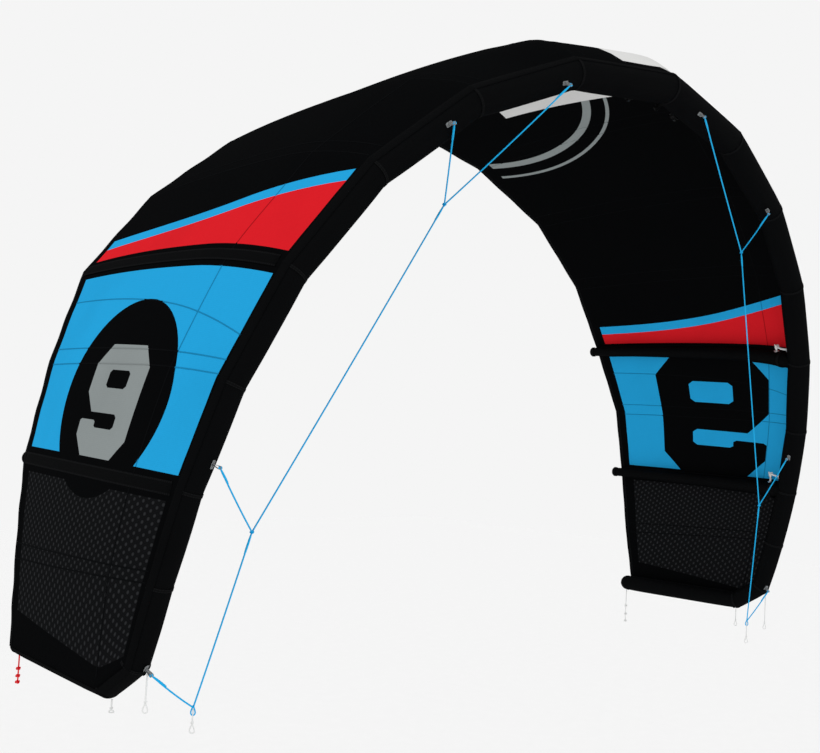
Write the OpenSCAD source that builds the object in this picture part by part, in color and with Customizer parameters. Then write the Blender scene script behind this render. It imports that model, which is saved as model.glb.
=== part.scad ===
// Inflatable kitesurf kite of nine square metres, standing open as it flies.
// +Z is up, the span runs along X, the leading edge faces -Y.
// The origin is on the leading edge tube's axis at its centre seam.

/* [Leading edge] */
// Length of the segment next to the centre seam
seg_len_mid = 580; // [540:5:620]
// Length of the last segment, at the wingtip
seg_len_tip = 256; // [230:2:290]
// Direction of the last segment, in degrees below level
arch_turn = 87; // [80:1:92]
// How early the arch turns down: 1 is an even bend, 2 bends most at the centre
arch_power = 1.74; // [1.5:0.02:2]
// Extra droop near the centre, in degrees
arch_skew = -1.9; // [-4:0.1:2]
// Rearward sweep of the first segment, in degrees
sweep_mid = 3.7; // [0:0.1:8]
// Rearward sweep of the last segment, in degrees
sweep_tip = 17; // [10:0.5:22]
// Tube radius at the centre seam
edge_r_mid = 62; // [55:1:75]
// Tube radius at the wingtip corner
edge_r_tip = 47; // [40:1:54]
// Thickness of the woven tube wall
casing_t = 3; // [2:0.5:4]
// Thickness of the bladder wall
bladder_t = 2; // [1.5:0.5:3]

/* [Wingtip] */
// How far the cut corner runs to the rear
corner_back = 146; // [120:2:180]
// How far the cut corner drops
corner_drop = 94; // [70:2:120]
// Distance from the last joint to the rear end of the tip tube
tip_tube_back = 845; // [800:5:880]
// Tube radius at the rear end of the tip tube
tip_tube_r = 42; // [36:1:46]

/* [Canopy] */
// Distance from the tube axis to the trailing edge at the centre
chord_mid = 1505; // [1400:5:1600]
// Distance from the tube axis to the trailing edge at the wingtip
chord_tip = 850; // [800:5:900]
// Canopy camber at the centre, as a share of its chord
camber_mid = 0.085; // [0.05:0.005:0.11]
// Canopy camber at the wingtip
camber_tip = 0.04; // [0.02:0.005:0.06]
// Thickness of the canopy cloth's solid
canopy_t = 3; // [2.5:0.5:4]
// Width of the hem along the trailing edge
hem_w = 22; // [15:1:30]

/* [Struts] */
// Strut radius near the leading edge
strut_r_front = 42; // [34:1:48]
// Strut radius at its rear end
strut_r_rear = 25; // [20:1:32]
// How far a strut sticks out behind the trailing edge
strut_overhang = 55; // [30:5:80]

/* [Lines] */
// Diameter of every bridle line and pigtail
line_d = 4; // [3:0.5:5]
// Width of a bridle tab
tab_w = 14; // [10:1:20]

/* [Hidden] */
seg_count = 8;
side_names = ["left", "right"];
strut_names = ["upper", "lower"];
strut_joint = [4, 6];
panel_ends = [0, 2, 4, 6, 8];
tube_sides = 24;
strut_sides = 16;
line_sides = 8;
clearance = 0.3;
seam_angle = 12;
band_from = 16;
band_to = 47;
band_t = 2;
chord_steps = 14;
chord_rows = 2;
camber_peak = 0.3;
$fn = 32;

// Lift and tangential shift of the trailing edge from the tube axis: centre, middle, wingtip
te_lift = [93, 46, -15];
te_shift = [0, -72, 107];
te_shift_wave = 30;

// Stations of the four bridle tabs along each wing, in segments from the centre seam
tab_stations = [[1.2, 2.35, 5.7, 7.95], [0.35, 1.85, 5.4, 7.9]];
// Angle of each tab round the tube, from its outer side towards its front
tab_angles = [[115, 90, 115, 105], [125, 150, 175, 115]];
tab_len = 34;
tab_t = 3;
tab_hole_r = 4;

// Points where the bridle lines meet, on each wing: first join, second join, line end
bridle_joins = [
    [[-1005, 240, -635], [-1640, 400, -1790], [-1750, 505, -2350]],
    [[1000, 200, -500], [1640, 400, -1730], [1750, 505, -2360]]
];
line_steps = 16;
line_sag = 4;

// Where each pigtail leaves the right wing
rear_exit = [1914, 1390, -2325];
corner_exit = [1940, 676, -2336];
tip_exit = [1930, 496, -2224];
// Hanging length of each pigtail: left wing, right wing
rear_drop = [101, 189];
low_drop = [42, 93];
tip_drop = [118, 193];
front_drop = [77, 112];

// ---------- small maths ----------
function unit(v) = v / norm(v);
function mix(a, b, s) = a + (b - a) * s;
function square_off(v, t) = unit(v - (v * t) * t);
function through3(p, u) =
    p[0] * (1 - u) * (1 - 2 * u) + p[1] * 4 * u * (1 - u) + p[2] * u * (2 * u - 1);
function last(list) = list[len(list) - 1];

// ---------- leading edge path ----------
function seg_len(i) = mix(seg_len_mid, seg_len_tip, (i - 1) / (seg_count - 1));
function seg_drop(i) =
    let (u = (i - 0.5) / seg_count)
    arch_turn * (1 - pow(1 - u, arch_power)) + arch_skew * sin(360 * u);
function seg_sweep(i) = mix(sweep_mid, sweep_tip, (i - 1) / (seg_count - 1));
function seg_way(i) = [
    cos(seg_sweep(i)) * cos(seg_drop(i)),
    sin(seg_sweep(i)),
    -cos(seg_sweep(i)) * sin(seg_drop(i))
];
function edge_joint(i) = i <= 0 ? [0, 0, 0] : edge_joint(i - 1) + seg_len(i) * seg_way(i);

edge_end = edge_joint(seg_count);
corner = edge_end + [2, corner_back, -corner_drop];
tube_end = edge_end + [-36, tip_tube_back, -corner_drop + 7];
path = concat([for (i = [0:seg_count]) edge_joint(i)], [corner, tube_end]);
last_joint = len(path) - 1;

function path_r(i) =
    i <= seg_count ? mix(edge_r_mid, edge_r_tip, i / seg_count)
    : i == seg_count + 1 ? edge_r_tip - 2 : tip_tube_r;
function way_in(i) = i == 0 ? [1, 0, 0] : unit(path[i] - path[i - 1]);
function way_out(i) = i == last_joint ? way_in(i) : i == 0 ? [1, 0, 0] : unit(path[i + 1] - path[i]);
function path_t(i) = unit(way_in(i) + way_out(i));
function path_n(i) =
    i < seg_count ? cross(square_off([0, -1, 0], path_t(i)), path_t(i))
    : square_off([1, 0, 0], path_t(i));
function path_c(i) = cross(path_t(i), path_n(i));

// Anything given at the joints, read at a station between them
function at(list, u) =
    let (k = min(floor(u), len(list) - 2))
    mix(list[k], list[k + 1], u - k);
normals = [for (i = [0:last_joint]) path_n(i)];
fronts = [for (i = [0:last_joint]) path_c(i)];
radii = [for (i = [0:last_joint]) path_r(i)];

function tube_way(u, angle) = cos(angle) * at(normals, u) + sin(angle) * at(fronts, u);
function tube_point(u, angle, extra = 0) = at(path, u) + (at(radii, u) + extra) * tube_way(u, angle);

// ---------- canopy surface ----------
function te_point(i) =
    let (
        u = i / seg_count,
        a = i == 0 ? 0 : (seg_drop(i) + seg_drop(min(i + 1, seg_count))) / 2,
        lift = through3(te_lift, u),
        shift = through3(te_shift, u) + te_shift_wave * sin(360 * u),
        chord = chord_mid - (chord_mid - chord_tip) * pow(u, 1.5)
    )
    path[i] + [lift * sin(a) + shift * cos(a), chord, lift * cos(a) - shift * sin(a)];
function camber_line(v) =
    v < camber_peak ? 1 - pow(1 - v / camber_peak, 2)
    : 1 - pow((v - camber_peak) / (1 - camber_peak), 2);
function camber_at(i) = camber_tip + (camber_mid - camber_tip) * pow(1 - i / seg_count, 3);
function chord_row(i, v) =
    let (a = tube_point(i, seam_angle, canopy_t + clearance), b = te_point(i))
    mix(a, b, v) + normals[i] * norm(b - a) * camber_at(i) * camber_line(v);
// The last row follows the cut corner and the top of the tip tube
function tip_row(v) =
    let (
        lift = canopy_t + clearance,
        split = corner_back / tip_tube_back,
        a = tube_point(seg_count, seam_angle, lift),
        b = tube_point(seg_count + 1, seam_angle, lift),
        c = tube_point(last_joint, seam_angle, lift)
    )
    v < split ? mix(a, b, v / split) : mix(b, c, (v - split) / (1 - split));
function row(i, v) = i < seg_count ? chord_row(i, v) : tip_row(v);
function skin(u, v) =
    let (k = min(floor(u), seg_count - 1))
    mix(row(k, v), row(k + 1, v), u - k);
function hem_start(u) = 1 - hem_w / norm(skin(u, 1) - skin(u, 0));

// ---------- solids from rings of points ----------
// A closed loft through rings that all have the same number of points.
// Each ring runs anticlockwise when seen from the far end of the loft.
function joined(j, next, n) = [for (k = [0:n - 1])
    [j * n + k, next * n + k, next * n + (k + 1) % n, j * n + (k + 1) % n]];
function each_of(lists) = [for (list = lists, item = list) item];
module loft(rings) {
    n = len(rings[0]);
    m = len(rings);
    sides = each_of([for (j = [0:m - 2]) joined(j, j + 1, n)]);
    first_cap = [for (k = [0:n - 1]) k];
    end_cap = [for (k = [n - 1:-1:0]) (m - 1) * n + k];
    polyhedron(each_of(rings), concat([first_cap], sides, [end_cap]), 10);
}

// A loft whose section is two rows of points that face each other, such as a sheet's or a band's.
// Its ends are closed by one quad for each pair of neighbours.
module ribbon(rings) {
    n = len(rings[0]);
    m = len(rings);
    last = (m - 1) * n;
    sides = each_of([for (j = [0:m - 2]) joined(j, j + 1, n)]);
    first_cap = [for (k = [0:n / 2 - 2]) [k, k + 1, n - 2 - k, n - 1 - k]];
    end_cap = [for (k = [0:n / 2 - 2]) [last + n - 1 - k, last + n - 2 - k, last + k + 1, last + k]];
    polyhedron(each_of(rings), concat(first_cap, sides, end_cap), 10);
}

function ring(o, a, b, r, n) = [for (k = [0:n - 1]) o + r * (cos(360 * k / n) * a + sin(360 * k / n) * b)];

// Rings of the leading edge tube on one wing, shrunk by inset, with a domed rear end
dome = [[0.5, 0.87], [0.8, 0.6], [0.96, 0.28]];
function tube_rings(inset) = concat(
    [for (i = [0:last_joint]) ring(path[i], normals[i], fronts[i], radii[i] - inset, tube_sides)],
    [for (d = dome) ring(
        tube_end + way_in(last_joint) * (tip_tube_r - inset) * d[0],
        normals[last_joint], fronts[last_joint], (tip_tube_r - inset) * d[1], tube_sides)]
);

function flip(p) = [-p[0], p[1], p[2]];
function backwards(list) = [for (i = [len(list) - 1:-1:0]) list[i]];

// A cup: outer rings out to the closed end, inner rings back to the open mouth
module cup(outer, inner) {
    n = len(outer[0]);
    all_rings = concat(outer, backwards(inner));
    m = len(all_rings);
    turn = len(outer) - 1;
    sides = each_of([for (j = [0:m - 1]) if (j != turn) joined(j, (j + 1) % m, n)]);
    outer_end = [for (k = [n - 1:-1:0]) turn * n + k];
    inner_end = [for (k = [0:n - 1]) (turn + 1) * n + k];
    polyhedron(each_of(all_rings), concat(sides, [outer_end, inner_end]), 10);
}

// A sleeve: a tube open at both ends
module sleeve(outer, inner) {
    n = len(outer[0]);
    all_rings = concat(outer, backwards(inner));
    m = len(all_rings);
    polyhedron(each_of(all_rings), each_of([for (j = [0:m - 1]) joined(j, (j + 1) % m, n)]), 10);
}

module on_side(side) {
    if (side == "left") mirror([1, 0, 0]) children();
    else children();
}

// ---------- leading edge ----------
module le_casing(side) {
    color("#101214") on_side(side) cup(tube_rings(0), tube_rings(casing_t));
}

function whole_rings(inset) =
    let (r = tube_rings(inset))
    concat(
        [for (i = [len(r) - 1:-1:1]) [for (k = [0:tube_sides - 1]) flip(r[i][k])]],
        r
    );
module le_bladder() {
    outer = casing_t + clearance;
    color("#c9d3d6") difference() {
        loft(whole_rings(outer));
        loft(whole_rings(outer + bladder_t));
    }
}

// ---------- struts ----------
strut_rows = [0.045, 0.08, 0.13, 0.21, 0.32, 0.45, 0.6, 0.75, 0.88, 1];
strut_gap = 2;
strut_dip = 22;
dip_share = 0.25;
function strut_r(s) = mix(strut_r_front, strut_r_rear, s);
function strut_v(i, s) = mix(radii[i] / chord_mid, 1, s);
// Strut axis below the canopy, dropping towards the tube's axis at the front
function strut_axis(i, s) =
    let (dip = strut_dip * pow(max(0, 1 - s / dip_share), 2))
    skin(i, strut_v(i, s)) - normals[i] * (canopy_t + strut_gap + strut_r(s) + dip);
function strut_way(i, s) = unit(strut_axis(i, min(1, s + 0.03)) - strut_axis(i, max(0, s - 0.03)));
// The front ring is cut to the shape of the leading edge tube, and its sides rise with the tube's bend
saddle_rise = 0.11;
saddle_gap = 1.2;
function strut_saddle(i, inset) =
    let (
        r = strut_r(0) - inset,
        high = (strut_axis(i, 0) - path[i]) * normals[i],
        wide = [seg_len(i), seg_len(i + 1)]
    )
    [for (k = [0:strut_sides - 1])
        let (
            a = 360 * k / strut_sides,
            x = r * sin(a),
            u = i + x / (x < 0 ? wide[0] : wide[1]),
            up = high + r * cos(a) + abs(x) * saddle_rise
        )
        tube_point(u, -acos(up / (at(radii, u) + saddle_gap)), saddle_gap)];
function strut_rings(i, inset) =
    let (
        rear_way = strut_way(i, 1),
        rear = strut_axis(i, 1) + rear_way * (strut_overhang - inset),
        n = square_off(normals[i], rear_way)
    )
    concat(
        [strut_saddle(i, inset)],
        [for (s = strut_rows)
            let (t = strut_way(i, s), up = square_off(normals[i], t))
            ring(strut_axis(i, s), up, cross(t, up), strut_r(s) - inset, strut_sides)],
        [ring(rear, n, cross(rear_way, n), strut_r(1) - inset, strut_sides)]
    );

module strut_casing(side, which) {
    i = strut_joint[which];
    color("#16181a") on_side(side) cup(strut_rings(i, 0), strut_rings(i, casing_t - 0.5));
}

module strut_bladder(side, which) {
    i = strut_joint[which];
    outer = casing_t - 0.5 + clearance;
    color("#c9d3d6") on_side(side) cup(strut_rings(i, outer), strut_rings(i, outer + bladder_t));
}

module strut_end_caps() {
    cap_len = 12;
    color("#202326")
    for (side = side_names, which = [0, 1]) on_side(side) {
        i = strut_joint[which];
        way = strut_way(i, 1);
        n = square_off(normals[i], way);
        o = strut_axis(i, 1) + way * (strut_overhang + 0.2);
        multmatrix(frame(o, n, cross(way, n), way))
            rotate_extrude() intersection() {
                scale([1, cap_len / (strut_r_rear + 1)]) circle(r = strut_r_rear + 1);
                square([strut_r_rear + 1, cap_len]);
            }
    }
}

function frame(o, x, y, z) = [
    [x[0], y[0], z[0], o[0]],
    [x[1], y[1], z[1], o[1]],
    [x[2], y[2], z[2], o[2]],
    [0, 0, 0, 1]
];

// ---------- canopy ----------
// A sheet between two stations, its outer face on the surface and its inner face canopy_t below
module sheet_between(u0, u1, v0, v1, steps, t) {
    gap = 0.001;
    count = (u1 - u0) * chord_rows;
    us = [for (j = [0:count]) mix(u0 + gap, u1 - gap, j / count)];
    function outer(u, s) = skin(u, mix(v0, v1(u), s));
    ribbon([for (u = us) concat(
        [for (s = [0:steps]) outer(u, s / steps) - at(normals, u) * t],
        [for (s = [steps:-1:0]) outer(u, s / steps)]
    )]);
}
cloth_end = function (u) hem_start(u) - 0.0005;

module canopy_panel(side, k) {
    cloth_colors = ["#0c0d0f", "#141619", "#26a8e2", "#1b1e20"];
    color(cloth_colors[k - 1]) on_side(side)
        sheet_between(panel_ends[k - 1], panel_ends[k], 0, cloth_end, chord_steps, canopy_t);
}

module trailing_edge_hem() {
    us = [for (j = [0:seg_count * chord_rows]) j / chord_rows];
    function section(u) = let (a = hem_start(u), n = at(normals, u)) [
        skin(u, a) - n * (canopy_t + 0.5), skin(u, 1) - n * (canopy_t + 0.5),
        skin(u, 1) + n * 0.5, skin(u, a) + n * 0.5
    ];
    right = [for (u = us) section(u)];
    left = [for (u = backwards(us)) if (u > 0) [for (p = section(u)) flip(p)]];
    color("#101113") loft(concat(left, right));
}

module seam_band() {
    arc = [for (a = [0:3]) mix(band_from, band_to, a / 3)];
    function section(i) = concat(
        [for (a = arc) path[i] + (radii[i] + clearance + band_t) * tube_way(i, a)],
        [for (a = backwards(arc)) path[i] + (radii[i] + clearance) * tube_way(i, a)]
    );
    right = [for (i = [0:last_joint]) section(i)];
    left = [for (i = [last_joint:-1:1]) [for (p = section(i)) flip(p)]];
    color("#2a2e31") ribbon(concat(left, right));
}

// ---------- tabs on the tube ----------
// Local frame on the tube: X along it, Z outwards, origin on its surface
module on_tube(u, angle) {
    z = unit(tube_way(u, angle));
    x = square_off(at([for (i = [0:last_joint]) path_t(i)], u), z);
    multmatrix(frame(tube_point(u, angle, clearance), x, cross(z, x), z)) children();
}

module webbing_tab(len, width, hole_r) {
    difference() {
        union() {
            translate([-width / 2, -tab_t / 2, 0]) cube([width, tab_t, len - width / 2]);
            translate([0, tab_t / 2, len - width / 2]) rotate([90, 0, 0]) cylinder(r = width / 2, h = tab_t);
        }
        translate([0, tab_t, len - width / 2]) rotate([90, 0, 0]) cylinder(r = hole_r, h = 2 * tab_t);
    }
    translate([-width / 2, -width / 2, 0]) cube([width, width, 1.5]);
}

module bridle_tabs() {
    color("#8e9498") for (s = [0, 1], k = [0:3]) on_side(side_names[s])
        on_tube(tab_stations[s][k], tab_angles[s][k]) webbing_tab(tab_len, tab_w, tab_hole_r);
}

leash_station = 0.08;
leash_angle = 235;
leash_hole_r = 6;
module pump_leash_tab() {
    color("#3a3d40") on_tube(leash_station, leash_angle) webbing_tab(40, 24, leash_hole_r);
}

// ---------- bridle ----------
function tab_eye(s, k) =
    let (
        p = tube_point(tab_stations[s][k], tab_angles[s][k], clearance + tab_len - tab_w / 2)
    )
    s == 0 ? flip(p) : p;
function taut(a, b) = [for (j = [0:line_steps])
    let (s = j / line_steps)
    mix(a, b, s) - [0, 0, line_sag * 4 * s * (1 - s)]];
function hanging(a, drop) = [for (j = [0:line_steps]) a - [0, 0, drop * j / line_steps]];

module line(route) {
    m = len(route) - 1;
    rings = [for (j = [0:m])
        let (
            t = unit(route[min(j + 1, m)] - route[max(j - 1, 0)]),
            a = square_off([0, 1, 0.1], t)
        )
        ring(route[j], a, cross(t, a), line_d / 2, line_sides)];
    loft(rings);
}

bridle_parts = ["upper_inner", "upper_outer", "main", "middle", "lower", "tip"];
function bridle_ends(s, k) =
    let (j = bridle_joins[s])
    k == 0 ? [tab_eye(s, 0), j[0]]
    : k == 1 ? [tab_eye(s, 1), j[0]]
    : k == 2 ? [j[0], j[1]]
    : k == 3 ? [tab_eye(s, 2), j[1]]
    : k == 4 ? [j[1], j[2]]
    : [tab_eye(s, 3), j[2]];
module bridle_line(s, k) {
    ends = bridle_ends(s, k);
    color("#28a8e0") line(taut(ends[0], ends[1]));
}

module pigtail(side, start, drop, tint) {
    color(tint) on_side(side) line(hanging(start, drop));
}
module front_loop(s) {
    color("#e8e8e4") line(hanging(bridle_joins[s][2] - [0, 0, 5], front_drop[s]));
}

// ---------- hinged caps ----------
// A knuckle and a lid share one pin along X; the knuckle belongs to the fixed piece
pin_slack = 0.08;
lid_gap = 0.4;
module knuckle(y, z, half, pin_r) {
    difference() {
        union() {
            translate([-half, y, z]) rotate([0, 90, 0]) cylinder(r = 2 * pin_r + 0.4, h = 2 * half);
            translate([-half, y - 8, z - 2 * pin_r - 0.4]) cube([2 * half, 8, 2 * pin_r + 0.4]);
        }
        translate([-half - 1, y, z]) rotate([0, 90, 0]) cylinder(r = pin_r + pin_slack, h = 2 * half + 2);
    }
}
module lid_hinge(y, z, half, pin_r, reach) {
    side_w = 3;
    for (x = [-half - lid_gap - side_w, half + lid_gap]) {
        translate([x, y, z]) rotate([0, 90, 0]) cylinder(r = 2 * pin_r + 0.4, h = side_w);
        translate([x, y - reach, z + lid_gap]) cube([side_w, reach, 2 * pin_r]);
    }
    translate([-half - lid_gap - 1, y, z]) rotate([0, 90, 0])
        cylinder(r = pin_r, h = 2 * (half + lid_gap + 1));
}

// ---------- valves ----------
valve_angle = 240;
valve_station = 0.3;
flange_r = 26;
valve_r = 15;
valve_h = 16;
inflate_bore_r = 5.5;
dump_bore_r = 10;
cap_h = 3;
cap_pin_r = 1.5;
cap_hinge_y = 20;
cap_half = 4;

module valve_body(bore_r) {
    difference() {
        union() {
            cylinder(r = flange_r, h = 2);
            cylinder(r = valve_r, h = valve_h - 1);
            translate([0, 0, valve_h - 3]) cylinder(r = valve_r - 1.5, h = 3);
        }
        translate([0, 0, -1]) cylinder(r = bore_r, h = valve_h + 2);
    }
    knuckle(cap_hinge_y, valve_h - 4, cap_half, cap_pin_r);
}
module valve_cap() {
    translate([0, 0, valve_h + lid_gap]) cylinder(r = valve_r, h = cap_h);
    translate([0, 0, valve_h - 4]) lid_hinge(cap_hinge_y, 0, cap_half, cap_pin_r, 3);
    for (x = [-cap_half - lid_gap - 3, cap_half + lid_gap])
        translate([x, cap_hinge_y - 8, valve_h + lid_gap]) cube([3, 8, cap_h]);
    for (x = [-cap_half - lid_gap - 3, cap_half + lid_gap])
        translate([x, cap_hinge_y - 2, valve_h - 4]) cube([3, 4, cap_h + 4 + lid_gap]);
}
module inflate_valve() {
    color("#d8dadb") on_tube(valve_station, valve_angle) valve_body(inflate_bore_r);
}
module inflate_cap() {
    color("#2b2e31") on_tube(valve_station, valve_angle) valve_cap();
}
module dump_valve() {
    color("#d8dadb") mirror([1, 0, 0]) on_tube(valve_station, valve_angle) valve_body(dump_bore_r);
}
module dump_cap() {
    color("#2b2e31") mirror([1, 0, 0]) on_tube(valve_station, valve_angle) valve_cap();
}

// ---------- one-pump tubes ----------
tube_r = 5;
tube_wall = 1.5;
stub_h = 16;
root_angle = 255;
root_shift = 75;
strut_share = 0.085;
tube_steps = 12;
function root_u(i) = i - root_shift / seg_len(i);
function root_way(i) = unit(tube_way(root_u(i), root_angle));
function root_foot(i) = tube_point(root_u(i), root_angle, clearance);
function strut_foot(i) = strut_axis(i, strut_share) - path_t(i) * (strut_r(strut_share) + clearance);
function bend(p, s) =
    pow(1 - s, 3) * p[0] + 3 * s * pow(1 - s, 2) * p[1] + 3 * s * s * (1 - s) * p[2] + pow(s, 3) * p[3];
function tube_bend(i) =
    let (
        a = root_foot(i) + root_way(i) * 5,
        b = strut_foot(i) - path_t(i) * 5
    )
    [a, a + root_way(i) * 60, b - path_t(i) * 60, b];
function tube_route(i) = [for (j = [0:tube_steps]) bend(tube_bend(i), j / tube_steps)];
function tube_run(i, j, r) =
    let (
        p = tube_route(i),
        t = unit(p[min(j + 1, tube_steps)] - p[max(j - 1, 0)]),
        a = square_off(normals[i], t)
    )
    ring(p[j], a, cross(t, a), r, line_sides);
module one_pump_tubes() {
    color("#d9dcde") for (side = side_names, i = strut_joint) on_side(side) sleeve(
        [for (j = [0:tube_steps]) tube_run(i, j, tube_r)],
        [for (j = [0:tube_steps]) tube_run(i, j, tube_r - tube_wall)]
    );
}

// A connector stub: flange on the casing and a spout the tube is pushed over
module stub(foot, way) {
    x = square_off([0, 0, 1], way);
    multmatrix(frame(foot, x, cross(way, x), way)) {
        cylinder(r = 13, h = 1.5);
        cylinder(r = 6, h = 4);
        cylinder(r = tube_r - tube_wall - 0.5, h = stub_h);
    }
}
module tube_stubs() {
    color("#c8ccce") for (side = side_names, i = strut_joint) on_side(side) {
        stub(root_foot(i), root_way(i));
        stub(strut_foot(i), -path_t(i));
    }
}

// ---------- clamps on the one-pump tubes ----------
clamp_at = 5;
clamp_half = 8;
clamp_pin_r = 1.2;
clamp_hinge_y = 12;
clamp_hinge_z = 6;
module at_clamp(i) {
    p = tube_route(i);
    x = unit(p[clamp_at + 1] - p[clamp_at - 1]);
    z = square_off(-normals[i], x);
    multmatrix(frame(p[clamp_at], x, cross(z, x), z)) children();
}
module clamp_bases() {
    color("#e4e6e6") for (side = side_names, i = strut_joint) on_side(side) at_clamp(i) {
        difference() {
            translate([-clamp_half, -9, -8]) cube([2 * clamp_half, 18, 16]);
            translate([-clamp_half - 1, 0, 0]) rotate([0, 90, 0])
                cylinder(r = tube_r + 0.4, h = 2 * clamp_half + 2);
        }
        knuckle(clamp_hinge_y, clamp_hinge_z, 3, clamp_pin_r);
    }
}
module clamp_lever(side, which) {
    color("#f2f2f0") on_side(side) at_clamp(strut_joint[which]) {
        translate([-7, -14, 8.5]) cube([14, 22, 2.5]);
        lid_hinge(clamp_hinge_y, clamp_hinge_z, 3, clamp_pin_r, 0.5);
        for (x = [-3 - lid_gap - 3, 3 + lid_gap]) {
            translate([x, clamp_hinge_y - 2, clamp_hinge_z]) cube([3, 4, 5]);
            translate([x, 7, 8.5]) cube([3, clamp_hinge_y - 6, 2.5]);
        }
    }
}

// ---------- the nodes ----------
for (side = side_names) {
    le_casing(side);
    for (which = [0, 1]) {
        strut_casing(side, which);
        strut_bladder(side, which);
    }
    for (k = [1:4])
        canopy_panel(side, k);
}
le_bladder();
strut_end_caps();
trailing_edge_hem();
seam_band();
bridle_tabs();
pump_leash_tab();
for (s = [0, 1], k = [0:5])
    bridle_line(s, k);
inflate_valve();
inflate_cap();
dump_valve();
dump_cap();
one_pump_tubes();
tube_stubs();
clamp_bases();
for (side = side_names, which = [0, 1])
    clamp_lever(side, which);
for (s = [0, 1]) {
    front_loop(s);
    pigtail(side_names[s], rear_exit, rear_drop[s], s == 0 ? "#e62129" : "#e8e8e4");
    pigtail(side_names[s], corner_exit, low_drop[s], "#e8e8e4");
    pigtail(side_names[s], tip_exit, tip_drop[s], "#e8e8e4");
}
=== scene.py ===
"""Looks of an inflatable kitesurf kite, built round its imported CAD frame.

Everything is in metres in the CAD's own frame: +Z up, the span along X, the leading edge towards -Y.
A place on the kite is given by a station u, counted in segments from the centre seam, and either a
share v of the chord (canopy) or an angle round the leading edge tube.
"""

import math

import bpy
import numpy as np
from mathutils import Matrix, Vector
from mathutils.geometry import delaunay_2d_cdt


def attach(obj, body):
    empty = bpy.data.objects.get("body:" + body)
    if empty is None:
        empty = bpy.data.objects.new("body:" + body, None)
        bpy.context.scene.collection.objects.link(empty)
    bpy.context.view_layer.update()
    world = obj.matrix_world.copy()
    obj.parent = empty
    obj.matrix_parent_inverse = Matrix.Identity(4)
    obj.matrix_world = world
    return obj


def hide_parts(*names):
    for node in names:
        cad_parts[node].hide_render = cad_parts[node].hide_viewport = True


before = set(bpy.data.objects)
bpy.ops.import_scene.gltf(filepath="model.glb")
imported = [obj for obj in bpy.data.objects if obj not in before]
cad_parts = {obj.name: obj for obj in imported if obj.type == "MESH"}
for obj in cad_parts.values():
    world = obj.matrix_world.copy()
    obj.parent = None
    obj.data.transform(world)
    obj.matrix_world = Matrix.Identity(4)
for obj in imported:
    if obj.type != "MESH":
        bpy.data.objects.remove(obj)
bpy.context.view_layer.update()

# ---------- driving dimensions: the CAD's, but with thicker cords and shorter strut ends ----------
SEGS = 8
SEG_LEN = (0.580, 0.256)
ARCH_TURN, ARCH_POWER, ARCH_SKEW = 87, 1.74, -1.9
SWEEP = (3.7, 17)
EDGE_R = (0.062, 0.047)
CORNER_BACK, CORNER_DROP = 0.146, 0.094
TIP_BACK, TIP_IN, TIP_R = 0.845, 0.036, 0.042
CHORD = (1.505, 0.850)
CAMBER = (0.085, 0.04)
CAMBER_PEAK = 0.3
TE_LIFT = (0.093, 0.046, -0.015)
TE_SHIFT = (0, -0.072, 0.107)
TE_WAVE = 0.030
SEAM_ANGLE = 12
CLOTH_LIFT = 0.0033
HEM_W = 0.022
BAND = (16, 47)
STRUT_R = (0.042, 0.025)
STRUT_JOINTS = {"upper": 4, "lower": 6}
STRUT_OVERHANG = 0.030
STRUT_DIP, DIP_SHARE, STRUT_GAP = 0.022, 0.25, 0.005
LINE_D = 0.0055
TAIL_D = 0.0052
TAB_STATIONS = {"left": (1.2, 2.35, 5.7, 7.95), "right": (0.35, 1.85, 5.4, 7.9)}
TAB_ANGLES = {"left": (115, 90, 115, 105), "right": (125, 150, 175, 115)}
TAB_EYE = 0.0273
JOINS = {
    "left": ((-1.005, 0.240, -0.635), (-1.640, 0.400, -1.790), (-1.750, 0.505, -2.350)),
    "right": ((1.000, 0.200, -0.500), (1.640, 0.400, -1.730), (1.750, 0.505, -2.360)),
}
REAR_EXIT = (1.914, 1.390, -2.325)
CORNER_EXIT = (1.940, 0.676, -2.336)
TIP_EXIT = (1.930, 0.496, -2.224)
DROPS = {
    "rear_pigtail": {"left": 0.101, "right": 0.189},
    "corner_pigtail": {"left": 0.042, "right": 0.093},
    "tip_pigtail": {"left": 0.118, "right": 0.193},
    "front_loop": {"left": 0.077, "right": 0.112},
}
SIDES = {"left": -1, "right": 1}


# ---------- small maths ----------
def unit(v):
    v = np.asarray(v, float)
    return v / np.linalg.norm(v, axis=-1, keepdims=True)


def mix(a, b, s):
    return a + (b - a) * s


def square_off(v, t):
    v = np.asarray(v, float)
    return unit(v - np.sum(v * t, axis=-1, keepdims=True) * t)


def through3(p, u):
    return p[0] * (1 - u) * (1 - 2 * u) + p[1] * 4 * u * (1 - u) + p[2] * u * (2 * u - 1)


def smooth(a, b, x):
    s = np.clip((x - a) / (b - a), 0, 1)
    return s * s * (3 - 2 * s)


def lengths_along(points):
    """The distance along a run of points, from the first to each."""
    return np.concatenate([[0], np.cumsum(np.linalg.norm(np.diff(points, axis=0), axis=1))])


def grid_uv(along, across):
    return np.stack(np.broadcast_arrays(along[:, None], across[None]), -1).reshape(-1, 2)


# ---------- leading edge path ----------
def seg_drop(i):
    u = (i - 0.5) / SEGS
    return ARCH_TURN * (1 - (1 - u) ** ARCH_POWER) + ARCH_SKEW * math.sin(math.tau * u)


def seg_step(i):
    s = (i - 1) / (SEGS - 1)
    drop, sweep = math.radians(seg_drop(i)), math.radians(mix(*SWEEP, s))
    way = np.array([math.cos(sweep) * math.cos(drop), math.sin(sweep), -math.cos(sweep) * math.sin(drop)])
    return mix(*SEG_LEN, s) * way


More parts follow.
